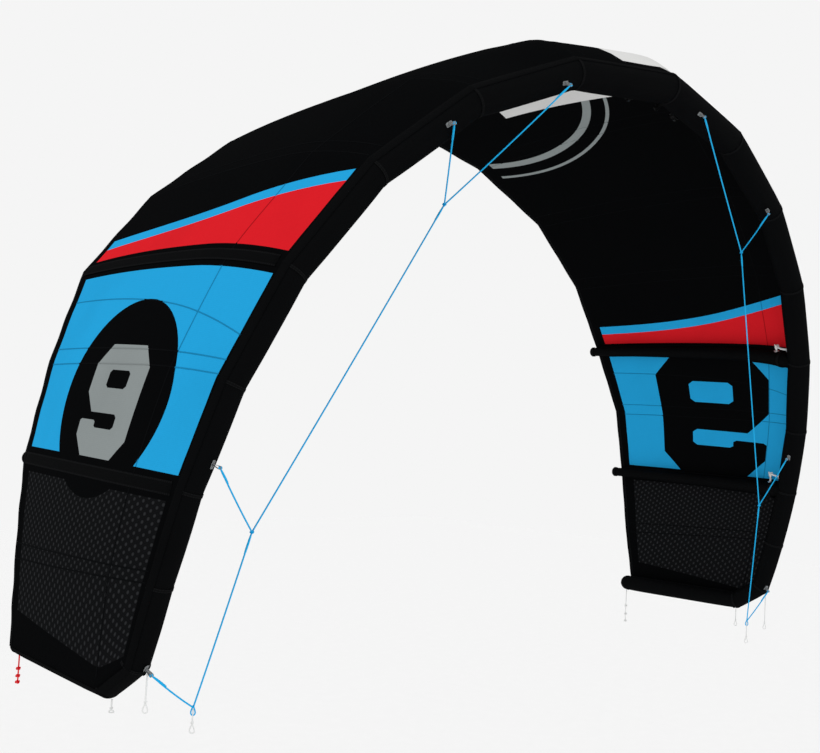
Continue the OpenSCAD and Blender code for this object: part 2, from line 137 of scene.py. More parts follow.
def build_path():
    points = [np.zeros(3)]
    for i in range(1, SEGS + 1):
        points.append(points[-1] + seg_step(i))
    tip = points[-1]
    points.append(tip + (0.002, CORNER_BACK, -CORNER_DROP))
    points.append(tip + (-TIP_IN, TIP_BACK, -CORNER_DROP + 0.007))
    radii = [mix(*EDGE_R, i / SEGS) for i in range(SEGS + 1)] + [EDGE_R[1] - 0.002, TIP_R]
    ways, outs, fronts = [], [], []
    for i, p in enumerate(points):
        start = i == 0
        end = i == len(points) - 1
        into = np.array([1.0, 0, 0]) if start else unit(p - points[i - 1])
        out = into if end or start else unit(points[i + 1] - p)
        t = unit(into + out)
        n = np.cross(square_off((0, -1, 0), t), t) if i < SEGS else square_off((1, 0, 0), t)
        ways.append(t)
        outs.append(n)
        fronts.append(np.cross(t, n))
    return [np.array(a) for a in (points, radii, ways, outs, fronts)]


PATH, RADII, WAYS, OUTS, FRONTS = build_path()
LAST = len(PATH) - 1

SEG_METRES = np.linalg.norm(np.diff(PATH, axis=0), axis=1)


def at(values, u):
    """Anything given at the joints, read at stations between them."""
    u = np.asarray(u, float)
    k = np.minimum(np.floor(u).astype(int), len(values) - 2)
    s = u - k
    if values.ndim == 2:
        s = s[..., None]
    return values[k] * (1 - s) + values[k + 1] * s


def tube_way(u, angle):
    a = np.radians(angle)[..., None]
    return np.cos(a) * at(OUTS, u) + np.sin(a) * at(FRONTS, u)


def tube_point(u, angle, extra=0.0):
    u, angle, extra = np.broadcast_arrays(np.asarray(u, float), angle, extra)
    return at(PATH, u) + (at(RADII, u) + extra)[..., None] * tube_way(u, angle)


def stations(steps):
    """Stations along the leading edge, at the same shares of every segment."""
    return np.array([i + s for i in range(LAST) for s in steps] + [LAST])


# ---------- canopy surface ----------
def te_point(i):
    u = i / SEGS
    turn = 0 if i == 0 else math.radians((seg_drop(i) + seg_drop(min(i + 1, SEGS))) / 2)
    lift = through3(TE_LIFT, u)
    shift = through3(TE_SHIFT, u) + TE_WAVE * math.sin(math.tau * u)
    chord = CHORD[0] - (CHORD[0] - CHORD[1]) * u**1.5
    return PATH[i] + (
        lift * math.sin(turn) + shift * math.cos(turn),
        chord,
        lift * math.cos(turn) - shift * math.sin(turn),
    )


def camber_line(v):
    front = 1 - (1 - v / CAMBER_PEAK) ** 2
    rear = 1 - ((v - CAMBER_PEAK) / (1 - CAMBER_PEAK)) ** 2
    return np.where(v < CAMBER_PEAK, front, rear)


def chord_row(i, v):
    v = np.asarray(v, float)
    if i < SEGS:
        a, b = tube_point(i, SEAM_ANGLE, CLOTH_LIFT), te_point(i)
        depth = CAMBER[1] + (CAMBER[0] - CAMBER[1]) * (1 - i / SEGS) ** 3
        rise = np.linalg.norm(b - a) * depth * camber_line(v)
        return mix(a, b, v[..., None]) + OUTS[i] * rise[..., None]
    a, b, c = (tube_point(j, SEAM_ANGLE, CLOTH_LIFT) for j in (SEGS, SEGS + 1, LAST))
    split = CORNER_BACK / TIP_BACK
    first = mix(a, b, (v / split)[..., None])
    rest = mix(b, c, ((v - split) / (1 - split))[..., None])
    return np.where(v[..., None] < split, first, rest)


def skin(u, v):
    u, v = np.broadcast_arrays(np.asarray(u, float), np.asarray(v, float))
    k = np.minimum(np.floor(u).astype(int), SEGS - 1)
    rows = np.stack([chord_row(i, v) for i in range(SEGS + 1)])
    pick = np.indices(u.shape)
    low, high = rows[(k, *pick)], rows[(k + 1, *pick)]
    return mix(low, high, (u - k)[..., None])


def skin_out(u, v):
    """The outward normal of the canopy."""
    e = 0.01
    du = skin(np.minimum(u + e, SEGS), v) - skin(np.maximum(u - e, 0), v)
    dv = skin(u, np.minimum(v + e, 1)) - skin(u, np.maximum(v - e, 0))
    return unit(np.cross(du, dv))


FRONT_TUCK = 0.02
TUCK_ANGLE = 24
BILLOW = 0.006
CROWN = 0.028
SHOULDER = -0.013
EDGE_PUSH = ((0, 0.0, 0.030), (1, -0.008, 0.032), (4, 0.012, 0.026), (5, 0.0, -0.015))

PUCKER, FLUTTER, SETTLE = 0.0010, 0.0018, 0.0018
TUCK_LIFT = 0.0012


def wing_sign(u):
    """-1 along X for stations on the left wing, whose points are mirrored."""
    one = np.ones_like(u)
    return np.stack([np.where(u < 0, -1.0, 1.0), one, one], -1)


def cloth(u, v, lift=0.0):
    """The canopy cloth at signed stations u: the CAD's surface, filled out between the seams."""
    u, v = np.broadcast_arrays(np.asarray(u, float), np.asarray(v, float))
    a, w = np.abs(u), np.clip(v, 0, 1)
    s = a - np.minimum(np.floor(a), SEGS - 1)
    fill = 4 * s * (1 - s) * np.sin(math.pi * w) ** 0.7
    fill = BILLOW * fill * np.where(a > SEGS - 1, 0.5, 1)
    crown = CROWN * np.exp(-(((w - 0.10) / 0.08) ** 2)) * (1 - smooth(1.0, 1.5, a)) * smooth(0, 0.02, w)
    shoulder = SHOULDER * np.sin(math.pi * w) * smooth(1.1, 1.8, a) * (1 - smooth(3.3, 3.9, a))
    pucker = PUCKER * np.exp(-w / 0.05) * np.sin(math.tau * 3 * a) * smooth(0, 0.01, w)
    flutter = FLUTTER * smooth(0.86, 1, w) * np.sin(math.tau * 2 * a + 1.1) * np.sin(math.pi * s)
    settle = -SETTLE * np.exp(-w / 0.03)
    up = fill + crown + shoulder + pucker + flutter + settle + lift
    p = skin(a, w) + skin_out(a, w) * up[..., None]
    for joint, out, back in EDGE_PUSH:
        share = np.clip(1 - np.abs(a - joint), 0, 1) * w**2
        p = p + share[..., None] * (out, back, 0)
    tucked = tube_point(a, SEAM_ANGLE + TUCK_ANGLE * np.clip(-v, 0, 1) / FRONT_TUCK, TUCK_LIFT + lift)
    return np.where((v < 0)[..., None], tucked, p) * wing_sign(u)


def hem_start(u):
    u = np.abs(np.asarray(u, float))
    return 1 - HEM_W / np.linalg.norm(skin(u, 1) - skin(u, 0), axis=-1)


def cloth_out(u, v):
    return skin_out(np.abs(u), np.clip(v, 0, 1)) * wing_sign(u)


# ---------- materials ----------
class Nodes:
    """A short way to write node trees: every method returns an output socket."""

    def __init__(self, name):
        self.mat = bpy.data.materials.new(name)
        self.mat.use_nodes = True
        self.tree = self.mat.node_tree

    def put(self, node, values):
        for key, value in values.items():
            if isinstance(value, bpy.types.NodeSocket):
                self.tree.links.new(value, node.inputs[key])
            else:
                node.inputs[key].default_value = value

    def add(self, kind, values=(), out=0, **settings):
        n = self.tree.nodes.new("ShaderNode" + kind)
        for key, value in settings.items():
            setattr(n, key, value)
        self.put(n, dict(values))
        return n.outputs[out]

    def math(self, op, a, b=0.0, c=0.0):
        return self.add("Math", {0: a, 1: b, 2: c}, operation=op)

    def wave(self, x, rate):
        return self.math("SINE", self.math("MULTIPLY", x, rate))

    def uv(self):
        return self.add("UVMap", uv_map="cloth")

    def place(self):
        return self.add("TexCoord", out="Object")

    def split(self, vector):
        n = self.tree.nodes.new("ShaderNodeSeparateXYZ")
        self.put(n, {0: vector})
        return n.outputs[0], n.outputs[1]

    def noise(self, vector, scale, detail=3.0, rough=0.5):
        values = {"Vector": vector, "Scale": scale, "Detail": detail, "Roughness": rough}
        return self.add("TexNoise", values, out="Fac")

    def ramp(self, fac, low, high):
        """low and high are each (value in, value out)."""
        ends = {"From Min": low[0], "From Max": high[0], "To Min": low[1], "To Max": high[1]}
        return self.add("MapRange", {"Value": fac, **ends})

    def blend(self, fac, a, b):
        return self.add("Mix", {0: fac, 6: a, 7: b}, out=2, data_type="RGBA")

    def bump(self, height, distance, normal=None, strength=1.0):
        values = {"Height": height, "Distance": distance, "Strength": strength}
        if normal is not None:
            values["Normal"] = normal
        return self.add("Bump", values)

    def finish(self, **shader):
        self.put(self.tree.nodes["Principled BSDF"], {k.replace("_", " "): v for k, v in shader.items()})
        return self.mat

    def coated(self, tint, normal, gloss, rough):
        """Matt cloth under a thin gloss that varies from place to place."""
        return self.finish(
            Base_Color=tint, Roughness=0.8, Normal=normal, Specular_IOR_Level=0.0,
            Coat_Weight=gloss, Coat_Roughness=rough, Coat_Normal=normal,
        )


def rgba(r, g, b):
    return (r, g, b, 1.0)


def shade(color, k):
    return (color[0] * k, color[1] * k, color[2] * k, 1.0)


BLACK = rgba(0.0020, 0.0022, 0.0025)
EDGE_BLACK = rgba(0.0022, 0.0024, 0.0027)
BLUE = rgba(0.0170, 0.375, 0.740)
RED = rgba(0.720, 0.0125, 0.0200)
GREY = rgba(0.270, 0.300, 0.300)
WHITE = rgba(0.72, 0.72, 0.71)
THREAD = rgba(0.0080, 0.0084, 0.0090)
LINE_BLUE = rgba(0.0100, 0.480, 0.920)


def grid_line(m, x, pitch, width):
    """1 on thin lines every pitch metres along x, 0 between them."""
    near = m.math("PINGPONG", x, pitch / 2)
    return m.math("LESS_THAN", near, width / 2)


def ripstop(name, color, gloss=0.014, print_dots=False):
    """Coated ripstop cloth: fine weave, a grid of thicker threads, slow creases and colour drift."""
    m = Nodes(name)
    uv = m.uv()
    x, y = m.split(uv)
    fine = m.noise(uv, 90.0, 2.0)
    grid = m.math("MAXIMUM", *(grid_line(m, way, RIPSTOP_PITCH, RIPSTOP_THREAD) for way in (x, y)))
    drift = m.ramp(m.noise(uv, 2.2, 4.0), (0.3, 0.93), (0.7, 1.05))
    tint = m.blend(drift, rgba(0, 0, 0), color)
    tint = m.blend(m.math("MULTIPLY", grid, 0.22), tint, shade(color, 0.72))
    tint = m.blend(m.ramp(fine, (0.35, 0.0), (0.75, 0.12)), tint, shade(color, 0.8))
    if print_dots:
        tint = m.blend(hex_dots(m, x, y), tint, DOT)
    threads = m.math("ADD", m.wave(x, RIPSTOP_WEAVE), m.wave(y, RIPSTOP_WEAVE))
    weave = m.math("MULTIPLY_ADD", threads, 0.15, m.math("MULTIPLY", grid, 0.8))
    crease = m.bump(m.noise(uv, 7.0, 5.0, 0.6), 0.004, strength=0.6)
    normal = m.bump(weave, 0.0002, crease, 0.5)
    return m.coated(tint, normal, gloss, m.ramp(fine, (0.3, 0.42), (0.7, 0.55)))


RIPSTOP_PITCH, RIPSTOP_THREAD, RIPSTOP_WEAVE = 0.006, 0.0009, 7000.0
POLYESTER_WEAVE = 4200.0
HEX_PITCH = 0.025
DOT = rgba(0.024, 0.025, 0.027)
DOT_R, DOT_FADE, DOT_RING = 0.0030, 0.0075, 0.0112


def hex_dots(m, x, y):
    """Soft light dots on a hexagonal lattice, each inside a fine ring."""
    pitches = (HEX_PITCH, HEX_PITCH * math.sqrt(3))
    nearest = []
    for shift in (0.0, 0.5):
        squares = []
        for way, pitch in zip((x, y), pitches):
            d = m.math("WRAP", m.math("ADD", way, shift * pitch), pitch / 2, -pitch / 2)
            squares.append(m.math("MULTIPLY", d, d))
        nearest.append(m.math("SQRT", m.math("ADD", *squares)))
    nearest = m.math("MINIMUM", *nearest)
    off_ring = m.math("ABSOLUTE", m.math("SUBTRACT", nearest, DOT_RING))
    ring = m.ramp(off_ring, (0.0004, 0.25), (0.0014, 0.0))
    return m.math("MAXIMUM", m.ramp(nearest, (DOT_R, 1.0), (DOT_FADE, 0.12)), ring)


def polyester(name, color, gloss=0.035, stitched=()):
    """Woven polyester of the inflated tubes: plain weave with a painted highlight on its raised threads, soft
    broad shine, small creases.
    """
    m = Nodes(name)
    uv = m.uv()
    x, y = m.split(uv)
    slow = m.noise(uv, 5.0, 4.0)
    tint = m.blend(m.ramp(slow, (0.3, 0.85), (0.7, 1.15)), rgba(0, 0, 0), color)
    weave = m.math("MULTIPLY", m.wave(x, POLYESTER_WEAVE), m.wave(y, POLYESTER_WEAVE))
    # painted highlight: the weave's raised threads are lighter, on the same pattern as the bump
    tint = m.blend(m.ramp(weave, (0.2, 0.0), (1.0, 0.35)), tint, shade(color, 2.2))
    if stitched:
        tint = m.blend(stitches(m, x, y, stitched), tint, THREAD)
    crease = m.bump(m.noise(uv, 16.0, 4.0, 0.55), 0.003, strength=0.5)
    normal = m.bump(weave, 0.0003, crease, 0.6)
    return m.coated(tint, normal, gloss, m.ramp(slow, (0.3, 0.38), (0.7, 0.50)))


DASH, DASH_GAP, DASH_WIDTH = 0.0045, 0.0014, 0.0022


def stitches(m, x, y, rows):
    """Dashed thread along x at each of the distances across, y."""
    mask = 0.0
    for r in rows:
        off = m.math("ABSOLUTE", m.math("SUBTRACT", y, r))
        mask = m.math("MAXIMUM", mask, m.math("LESS_THAN", off, DASH_WIDTH / 2))
    return m.math("MULTIPLY", mask, m.math("GREATER_THAN", m.math("PINGPONG", x, DASH), DASH_GAP))


def webbing(name, color, shine=0.2):
    m = Nodes(name)
    x, y = m.split(m.uv())
    weave = m.math("MULTIPLY", m.wave(x, 2500.0), m.wave(y, 5200.0))
    # painted shade: the weave's low places are darker, on the same pattern as the bump
    tint = m.blend(m.ramp(weave, (-0.6, 0.0), (0.9, 1.0)), shade(color, 0.6), color)
    tint = m.blend(m.ramp(m.noise(m.uv(), 60.0), (0.45, 0.0), (0.75, 0.3)), tint, shade(color, 1.35))
    normal = m.bump(weave, 0.0003)
    return m.finish(
        Base_Color=tint, Roughness=0.75, Normal=normal, Specular_IOR_Level=shine, Sheen_Weight=shine,
    )


def braid(name, color):
    """Braided cord: two crossing spirals of yarn, with painted shade in the furrows between the yarns and a
    slight random change of tone.
    """
    m = Nodes(name)
    x, y = m.split(m.uv())
    rate = 8 / LINE_D
    spirals = (m.wave(m.math("MULTIPLY_ADD", x, lean, y), rate) for lean in (0.9, -0.9))
    yarn = m.math("MAXIMUM", *spirals)
    # painted shade: darker in the furrows between the yarns, where the bump pattern is low
    tint = m.blend(m.ramp(yarn, (-0.4, 0.0), (0.8, 1.0)), shade(color, 0.88), color)
    tint = m.blend(m.ramp(m.noise(m.uv(), 30.0), (0.4, 0.0), (0.8, 0.25)), tint, shade(color, 0.85))
    normal = m.bump(yarn, 0.0002)
    return m.finish(Base_Color=tint, Roughness=0.6, Normal=normal, Specular_IOR_Level=0.1, Sheen_Weight=0.02)


def plastic(name, color, rough=0.35, clear=0.0, spec=0.45):
    m = Nodes(name)
    place = m.place()
    scuff = m.noise(place, 60.0, 4.0)
    tint = m.blend(m.ramp(scuff, (0.35, 0.92), (0.7, 1.04)), rgba(0, 0, 0), color)
    return m.finish(
        Base_Color=tint, Roughness=m.ramp(scuff, (0.35, rough * 0.85), (0.7, rough * 1.25)),
        Normal=m.bump(m.noise(place, 900.0, 2.0), 0.0002), Specular_IOR_Level=spec, Transmission_Weight=clear,
    )


BAND_STITCHES = (-0.0205, -0.0175, 0.0175, 0.0205)
RING_STITCHES = (-0.0035, 0.0035)
HEM_STITCHES = (-0.0075, -0.0045, 0.0075)
MATS = {
    "black": ripstop("canopy_black", BLACK),
    "blue": ripstop("canopy_blue", BLUE, 0.035),
    "red": ripstop("canopy_red", RED, 0.035),
    "grey": ripstop("canopy_grey", GREY, 0.035),
    "white": ripstop("canopy_white", WHITE, 0.035),
    "printed": ripstop("canopy_printed", BLACK, print_dots=True),
    "seam_blue": ripstop("seam_blue", shade(BLUE, 0.62), 0.035),
    "seam_red": ripstop("seam_red", shade(RED, 0.6), 0.035),
    "seam_black": ripstop("seam_black", shade(BLACK, 1.7), 0.02),
    "seam_grey": ripstop("seam_grey", shade(GREY, 0.8), 0.035),
    "edge": polyester("edge_polyester", EDGE_BLACK),
    "strut": polyester("strut_polyester", EDGE_BLACK),
    "band": polyester("band_polyester", rgba(0.0024, 0.0026, 0.0029), 0.03, BAND_STITCHES),
    "seam_ring": polyester("seam_ring_polyester", rgba(0.0032, 0.0034, 0.0037), 0.045, RING_STITCHES),
    "hem": polyester("hem_tape", rgba(0.0026, 0.0028, 0.0031), 0.03, HEM_STITCHES),
    "patch": polyester("patch_polyester", rgba(0.0035, 0.0037, 0.0040), 0.02),
    "webbing": webbing("tab_webbing", rgba(0.30, 0.32, 0.33)),
    "leash_webbing": webbing("leash_webbing", rgba(0.006, 0.0064, 0.0068), 0.02),
    "bridle": braid("bridle_braid", LINE_BLUE),
    "white_line": braid("pigtail_braid", rgba(0.90, 0.91, 0.90)),
    "red_line": braid("red_pigtail_braid", rgba(0.86, 0.014, 0.022)),
    "valve": plastic("valve_plastic", rgba(0.006, 0.0063, 0.0066), 0.5, spec=0.1),
    "cap": plastic("cap_plastic", rgba(0.008, 0.0084, 0.0088), 0.5, spec=0.1),
    "clip": plastic("clip_plastic", rgba(0.78, 0.78, 0.76)),
    "hose": plastic("hose_plastic", rgba(0.70, 0.72, 0.73), 0.25),
    "film": plastic("bladder_film", rgba(0.66, 0.70, 0.72), 0.2, 0.4),
}


# ---------- mesh building ----------
def add_object(name, data):
    obj = bpy.data.objects.new(name, data)
    bpy.context.scene.collection.objects.link(obj)
    return obj


def add_piece(name, verts, faces, mats, uv, slot, body="kite", replaces=(), face_mats=None):
    """One smooth mesh piece. uv is a (metres along, metres across) pair for each vertex."""
    mesh = bpy.data.meshes.new(name)
    mesh.from_pydata([tuple(v) for v in np.asarray(verts, float)], [], faces)
    for key in mats:
        mesh.materials.append(MATS[key])
    if face_mats is not None:
        mesh.polygons.foreach_set("material_index", np.asarray(face_mats, np.int32))
    layer = mesh.uv_layers.new(name="cloth")
    loops = np.zeros(len(mesh.loops), np.int32)
    mesh.loops.foreach_get("vertex_index", loops)
    layer.data.foreach_set("uv", np.asarray(uv, np.float32)[loops].ravel())
    mesh.polygons.foreach_set("use_smooth", np.full(len(mesh.polygons), True))
    mesh.update()
    obj = add_object(name, mesh)
    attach(obj, body)
    if replaces:
        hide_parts(*replaces)
    return obj


def band_faces(m, n, start=0, closed=False):
    """Quads between m rings of n points; closed also joins the last ring to the first."""
    faces = []
    for j in range(m if closed else m - 1):
        a, b = start + j * n, start + (j + 1) % m * n
        faces += [(a + k, a + (k + 1) % n, b + (k + 1) % n, b + k) for k in range(n)]
    return faces


def loft(rings, start=0):
    """Faces through rings of points, each anticlockwise seen from the far end, with flat caps."""
    m, n = len(rings), len(rings[0])
    last = start + (m - 1) * n
    caps = [tuple(range(start + n - 1, start - 1, -1)), tuple(range(last, last + n))]
    return band_faces(m, n, start) + caps


def turned(faces, s):
    """The faces of a mirrored piece, s = -1, run the other way round."""
    return [f[::-1] for f in faces] if s < 0 else faces


def ring_uv(rings):
    """UVs in metres along and round a run of rings."""
    along = lengths_along(rings.mean(1))
    step = np.linalg.norm(np.roll(rings, -1, 1) - rings, axis=2)
    around = np.concatenate([np.zeros((len(rings), 1)), np.cumsum(step, 1)[:, :-1]], 1)
    return np.stack([np.repeat(along[:, None], rings.shape[1], 1), around], -1).reshape(-1, 2)


def lofted(name, rings, mat, s=1, uv=None, closed=False, **more):
    """A piece through rings of points; s is -1 to mirror it, closed joins its last ring to its first."""
    rings = np.asarray(rings, float)
    faces = band_faces(*rings.shape[:2], closed=True) if closed else loft(rings)
    uv = ring_uv(rings) if uv is None else uv
    return add_piece(name, rings.reshape(-1, 3) * (s, 1, 1), turned(faces, s), [mat], uv, **more)


def joined(name, parts, mat, **more):
    """One piece from several lofts: each part is (rings, sense of its faces)."""
    verts, faces, uv = [], [], []
    for rings, s in parts:
        faces += turned(loft(rings, len(verts)), s)
        uv += list(ring_uv(rings))
        verts += list(rings.reshape(-1, 3))
    return add_piece(name, verts, faces, [mat], uv, **more)


def circle_ring(o, a, b, r, n):
    t = np.arange(n) * math.tau / n
    return np.asarray(o) + r * (np.cos(t)[:, None] * a + np.sin(t)[:, None] * b)


def tube_along(points, r, n=12, up=(0, 1, 0.1)):
    """Rings of a round tube along points; r is one radius or one for each point."""
    points = np.asarray(points, float)
    r = np.broadcast_to(r, len(points))
    ways = unit(np.gradient(points, axis=0))
    rings = []
    a = square_off(up, ways[0])
    for p, t, rad in zip(points, ways, r):
        a = square_off(a, t)
        rings.append(circle_ring(p, a, np.cross(t, a), rad, n))
    return np.array(rings)


# ---------- canopy graphics, in stations and chord shares ----------
def arc(cu, cv, ru, rv, n, a0=0.0, a1=360.0):
    turns = np.radians(np.linspace(a0, a1, n, endpoint=a1 - a0 != 360))
    return [(cu + ru * math.cos(a), cv + rv * math.sin(a)) for a in turns]


def stripe_top(v):
    return 3.64 - 0.53 * (1 - v) ** 2.6


STRIPE_W = 0.115
STRIPE_END = 3.905
PANEL = (4.11, 5.88)
PANEL_END = 0.948
PRINT_U = (6.13, 7.86)
PRINT_SLOPE = 0.30
PRINT_V = (0.015, 0.93)
OVAL = (5.34, 0.437, 0.93, 0.303)
RING_V, RING_ASPECT = 0.79, 0.37
RINGS = ((1.08, 1.15), (1.27, 1.30))
PRINT_END = 0.950
PRINT_START = {"left": 0.004, "right": 0.042}
FRONT_PATCH = ((-0.46, 0.016), (0.46, 0.016), (0.50, 0.20), (-0.50, 0.20))
BAR = ((0.28, 0.70), (0.44, 0.71), (0.53, 0.33), (0.28, 0.33))

HEM_BLACK = 0.012


NINE_CUT = (0.175, 0.19)
TAIL_CUT = (0.015, 0.03)
STEM_CUT = (0.025, 0.04)
NINE_ROWS = (0.22, 0.385, 0.61, 0.68, 0.745)
NINE_BARS = (0.32, 0.71)


def cut_corners(corners):
    """A figure from right-angled corners (down, over, cut), each cut straight across."""
    points = []
    for j, (x, y, cut) in enumerate(corners):
        for a, b, _ in (corners[j - 1], corners[(j + 1) % len(corners)]):
            points.append((x + cut[0] * np.sign(a - x), y + cut[1] * np.sign(b - y)))
    return points


def block_nine(u0, u1, v_tail, v_stem):
    """A plain block figure nine. u runs down the figure and v across it, from the tail's side to the stem."""
    hole_top, hole_end, bowl_end, tip, tail = NINE_ROWS
    thin, stem = NINE_BARS
    outline = cut_corners([
        (0, 0, NINE_CUT), (0, 1, NINE_CUT), (1, 1, NINE_CUT), (1, 0, NINE_CUT),
        (tip, 0, TAIL_CUT), (tip, thin, TAIL_CUT), (tail, thin, TAIL_CUT), (tail, stem, STEM_CUT),
        (bowl_end, stem, STEM_CUT), (bowl_end, 0, NINE_CUT),
    ])
    hole = cut_corners([(x, y, STEM_CUT) for x, y in (
        (hole_top, thin), (hole_top, stem), (hole_end, stem), (hole_end, thin))])
    return [[(mix(u0, u1, x), mix(v_tail, v_stem, y)) for x, y in loop] for loop in (outline, hole)]


LEFT_NINE = block_nine(4.83, 5.875, 0.585, 0.27)
RIGHT_NINE = block_nine(4.06, 5.93, 0.18, 0.738)


def inside(poly, u, v):
    hit = False
    for (a, b), (c, d) in zip(poly, (*poly[1:], poly[0])):
        if (b > v) != (d > v) and u < (c - a) * (v - b) / (d - b) + a:
            hit = not hit
    return hit


def in_oval(u, v):
    return ((u - OVAL[0]) / OVAL[2]) ** 2 + ((v - OVAL[1]) / OVAL[3]) ** 2 < 1


def print_end(v):
    """The station where the honeycomb print stops."""
    return PRINT_U[1] - PRINT_SLOPE * v


def in_nine(figure, u, v):
    outline, hole = figure
    return inside(outline, u, v) and not inside(hole, u, v)


def region(u, v):
    """The colour of the cloth at a signed station and chord share."""
    side, a = ("left" if u < 0 else "right"), abs(u)
    if v > hem_at(a) - HEM_BLACK:
        return "black"
    front = PRINT_START[side]
    if front < v < PRINT_END and stripe_top(v) < a < STRIPE_END:
        return "blue" if a < stripe_top(v) + STRIPE_W else "red"
    if PANEL[0] < a < PANEL[1] and front < v < PANEL_END:
        if side == "right":
            return "black" if in_nine(RIGHT_NINE, a, v) else "blue"
        if in_oval(a, v):
            return "grey" if in_nine(LEFT_NINE, a, v) else "black"
        return "blue"
    if PRINT_U[0] < a < print_end(v) and PRINT_V[0] < v < PRINT_V[1]:
        return "black" if side == "left" and in_oval(a, v) else "printed"
    if inside(BAR, a, v) or inside(FRONT_PATCH, a, v):
        return "white"
    reach = math.hypot(a, (v - RING_V) / RING_ASPECT)
    if 0 < v < PRINT_END and any(low < reach < high for low, high in RINGS):
        return "grey"
    return "black"


HEM_TABLE = hem_start(np.arange(SEGS + 1))


def hem_at(a):
    return float(np.interp(a, np.arange(SEGS + 1), HEM_TABLE))


def outlines():
    """Every colour boundary, as closed or open runs of (signed u, v)."""
    runs = []

    def add(points, closed=True, s=1):
        runs.append(([(s * a, v) for a, v in points], closed))

    for side, s in SIDES.items():
        front = PRINT_START[side]
        rows = [float(v) for v in np.linspace(front, PRINT_END, 25)]
        add([(stripe_top(v), v) for v in rows] + [(STRIPE_END, PRINT_END), (STRIPE_END, front)], True, s)
        add([(stripe_top(v) + STRIPE_W, v) for v in rows], False, s)
        add([(PANEL[0], front), (PANEL[1], front), (PANEL[1], PANEL_END), (PANEL[0], PANEL_END)], True, s)
        low, high = PRINT_V
        add([(PRINT_U[0], low), (print_end(low), low), (print_end(high), high), (PRINT_U[0], high)], True, s)
        add(BAR, True, s)
        add([(a, hem_at(a) - HEM_BLACK) for a in np.linspace(0.001, SEGS - 0.001, 81)], False, s)
    for loop in LEFT_NINE:
        add(loop, True, -1)
    for loop in RIGHT_NINE:
        add(loop)
    add(arc(*OVAL, 72), True, -1)
    add(FRONT_PATCH)
    for r in np.ravel(RINGS):
        open_end = math.degrees(math.asin((PRINT_END - RING_V) / (r * RING_ASPECT)))
        add(arc(0, RING_V, r, r * RING_ASPECT, 96, 180 - open_end, 360 + open_end), False)
    return runs


def chord_metres(u, v):
    """Cloth UVs: metres out along the span and metres back along the chord."""
    a = np.abs(u)
    span = np.interp(a, np.arange(SEGS + 1), lengths_along(PATH[: SEGS + 1]))
    chords = np.linalg.norm(skin(a, 1) - skin(a, 0), axis=-1)
    return np.stack([np.sign(u) * span, v * chords], -1)


CDT_SCALE = np.array([0.42, 1.4])
RUN_STEP = 0.05


def dense_run(run, closed):
    """A run of boundary points with more points between them, for the triangulation."""
    ends = [np.array(p) for p in run]
    dense = []
    for a, b in zip(ends, ends[1:] + ends[:1] if closed else ends[1:]):
        steps = max(1, int(np.hypot(*((b - a) * CDT_SCALE)) / RUN_STEP))
        dense += [mix(a, b, q / steps) for q in range(steps)]
    return dense if closed else [*dense, ends[-1]]


def build_canopy():
    us = np.linspace(-SEGS, SEGS, 16 * 12 + 1)
    front = np.linspace(0, 0.1, 7)[:-1]
    vs = np.concatenate([[-FRONT_TUCK, -FRONT_TUCK / 2], front, np.linspace(0.1, 0.96, 30), [1.0]])
    coords = [Vector((u, v) * CDT_SCALE) for u in us for v in vs]
    edges = []
    for run, closed in outlines():
        dense = dense_run(run, closed)
        first, n = len(coords), len(dense)
        coords += [Vector(p * CDT_SCALE) for p in dense]
        edges += [(first + j, first + (j + 1) % n) for j in range(n if closed else n - 1)]
    verts, _, faces, _, _, _ = delaunay_2d_cdt(coords, edges, [], 0, 1e-6, False)
    flat = np.array([v[:] for v in verts]) / CDT_SCALE
    keep, mats = [], []
    names = ["black", "blue", "red", "grey", "white", "printed"]
    for f in faces:
        a, b, c = flat[list(f)]
        area = (b[0] - a[0]) * (c[1] - a[1]) - (b[1] - a[1]) * (c[0] - a[0])
        if abs(area) < 1e-9:
            continue
        keep.append(tuple(f) if area > 0 else tuple(reversed(f)))
        mats.append(names.index(region(*((a + b + c) / 3))))
    points = cloth(*flat.T)
    obj = add_piece(
        "canopy", points, keep, names, chord_metres(*flat.T), face_mats=mats, slot="canopy_black",
        replaces=[f"canopy_{s}_{k}" for s in SIDES for k in (1, 2, 3, 4)],
    )
    thick = obj.modifiers.new("cloth thickness", "SOLIDIFY")
    thick.thickness = 0.001
    thick.offset = -1
    tri = points[np.array(keep)]
    area = float(np.linalg.norm(np.cross(tri[:, 1] - tri[:, 0], tri[:, 2] - tri[:, 0]), axis=1).sum() / 2)


# ---------- strips sewn on the canopy ----------
STRIP_T, CLOTH_HALF = 0.0016, 0.0005
PANEL_SEAM_W, TAPE_W, SPAN_SEAM_V = 0.005, 0.046, 0.178
STRIP_PROFILE = ((-0.5, 0), (-0.42, 1), (0.42, 1), (0.5, 0), (0.42, -1), (-0.42, -1))


def strip_on_cloth(name, us, vs, width, mats, mat_of, slot):
    """A flat strip through the cloth, proud of it on both sides. The path is in signed u and v."""
    mid = cloth(us, vs)
    n = cloth_out(us, vs)
    side = unit(np.cross(n, unit(np.gradient(mid, axis=0))))
    profile = STRIP_PROFILE[::-1]
    high = STRIP_T / 2 + CLOTH_HALF
    rings = np.stack([mid + side * x * width + n * (h * high - CLOTH_HALF) for x, h in profile], 1)
    middles = zip((us[1:] + us[:-1]) / 2, (vs[1:] + vs[:-1]) / 2)
    face_mats = [mats.index(mat_of(u, v)) for u, v in middles for _ in profile] + [0, 0]
    uv = grid_uv(lengths_along(mid), np.array([x for x, _ in profile]) * width)
    add_piece(name, rings.reshape(-1, 3), loft(rings), mats, uv, slot, face_mats=face_mats)


SEAM_MATS = ["seam_black", "seam_blue", "seam_red", "seam_grey"]
SEAM_OF = {"black": 0, "printed": 0, "white": 3, "grey": 3, "blue": 1, "red": 2}


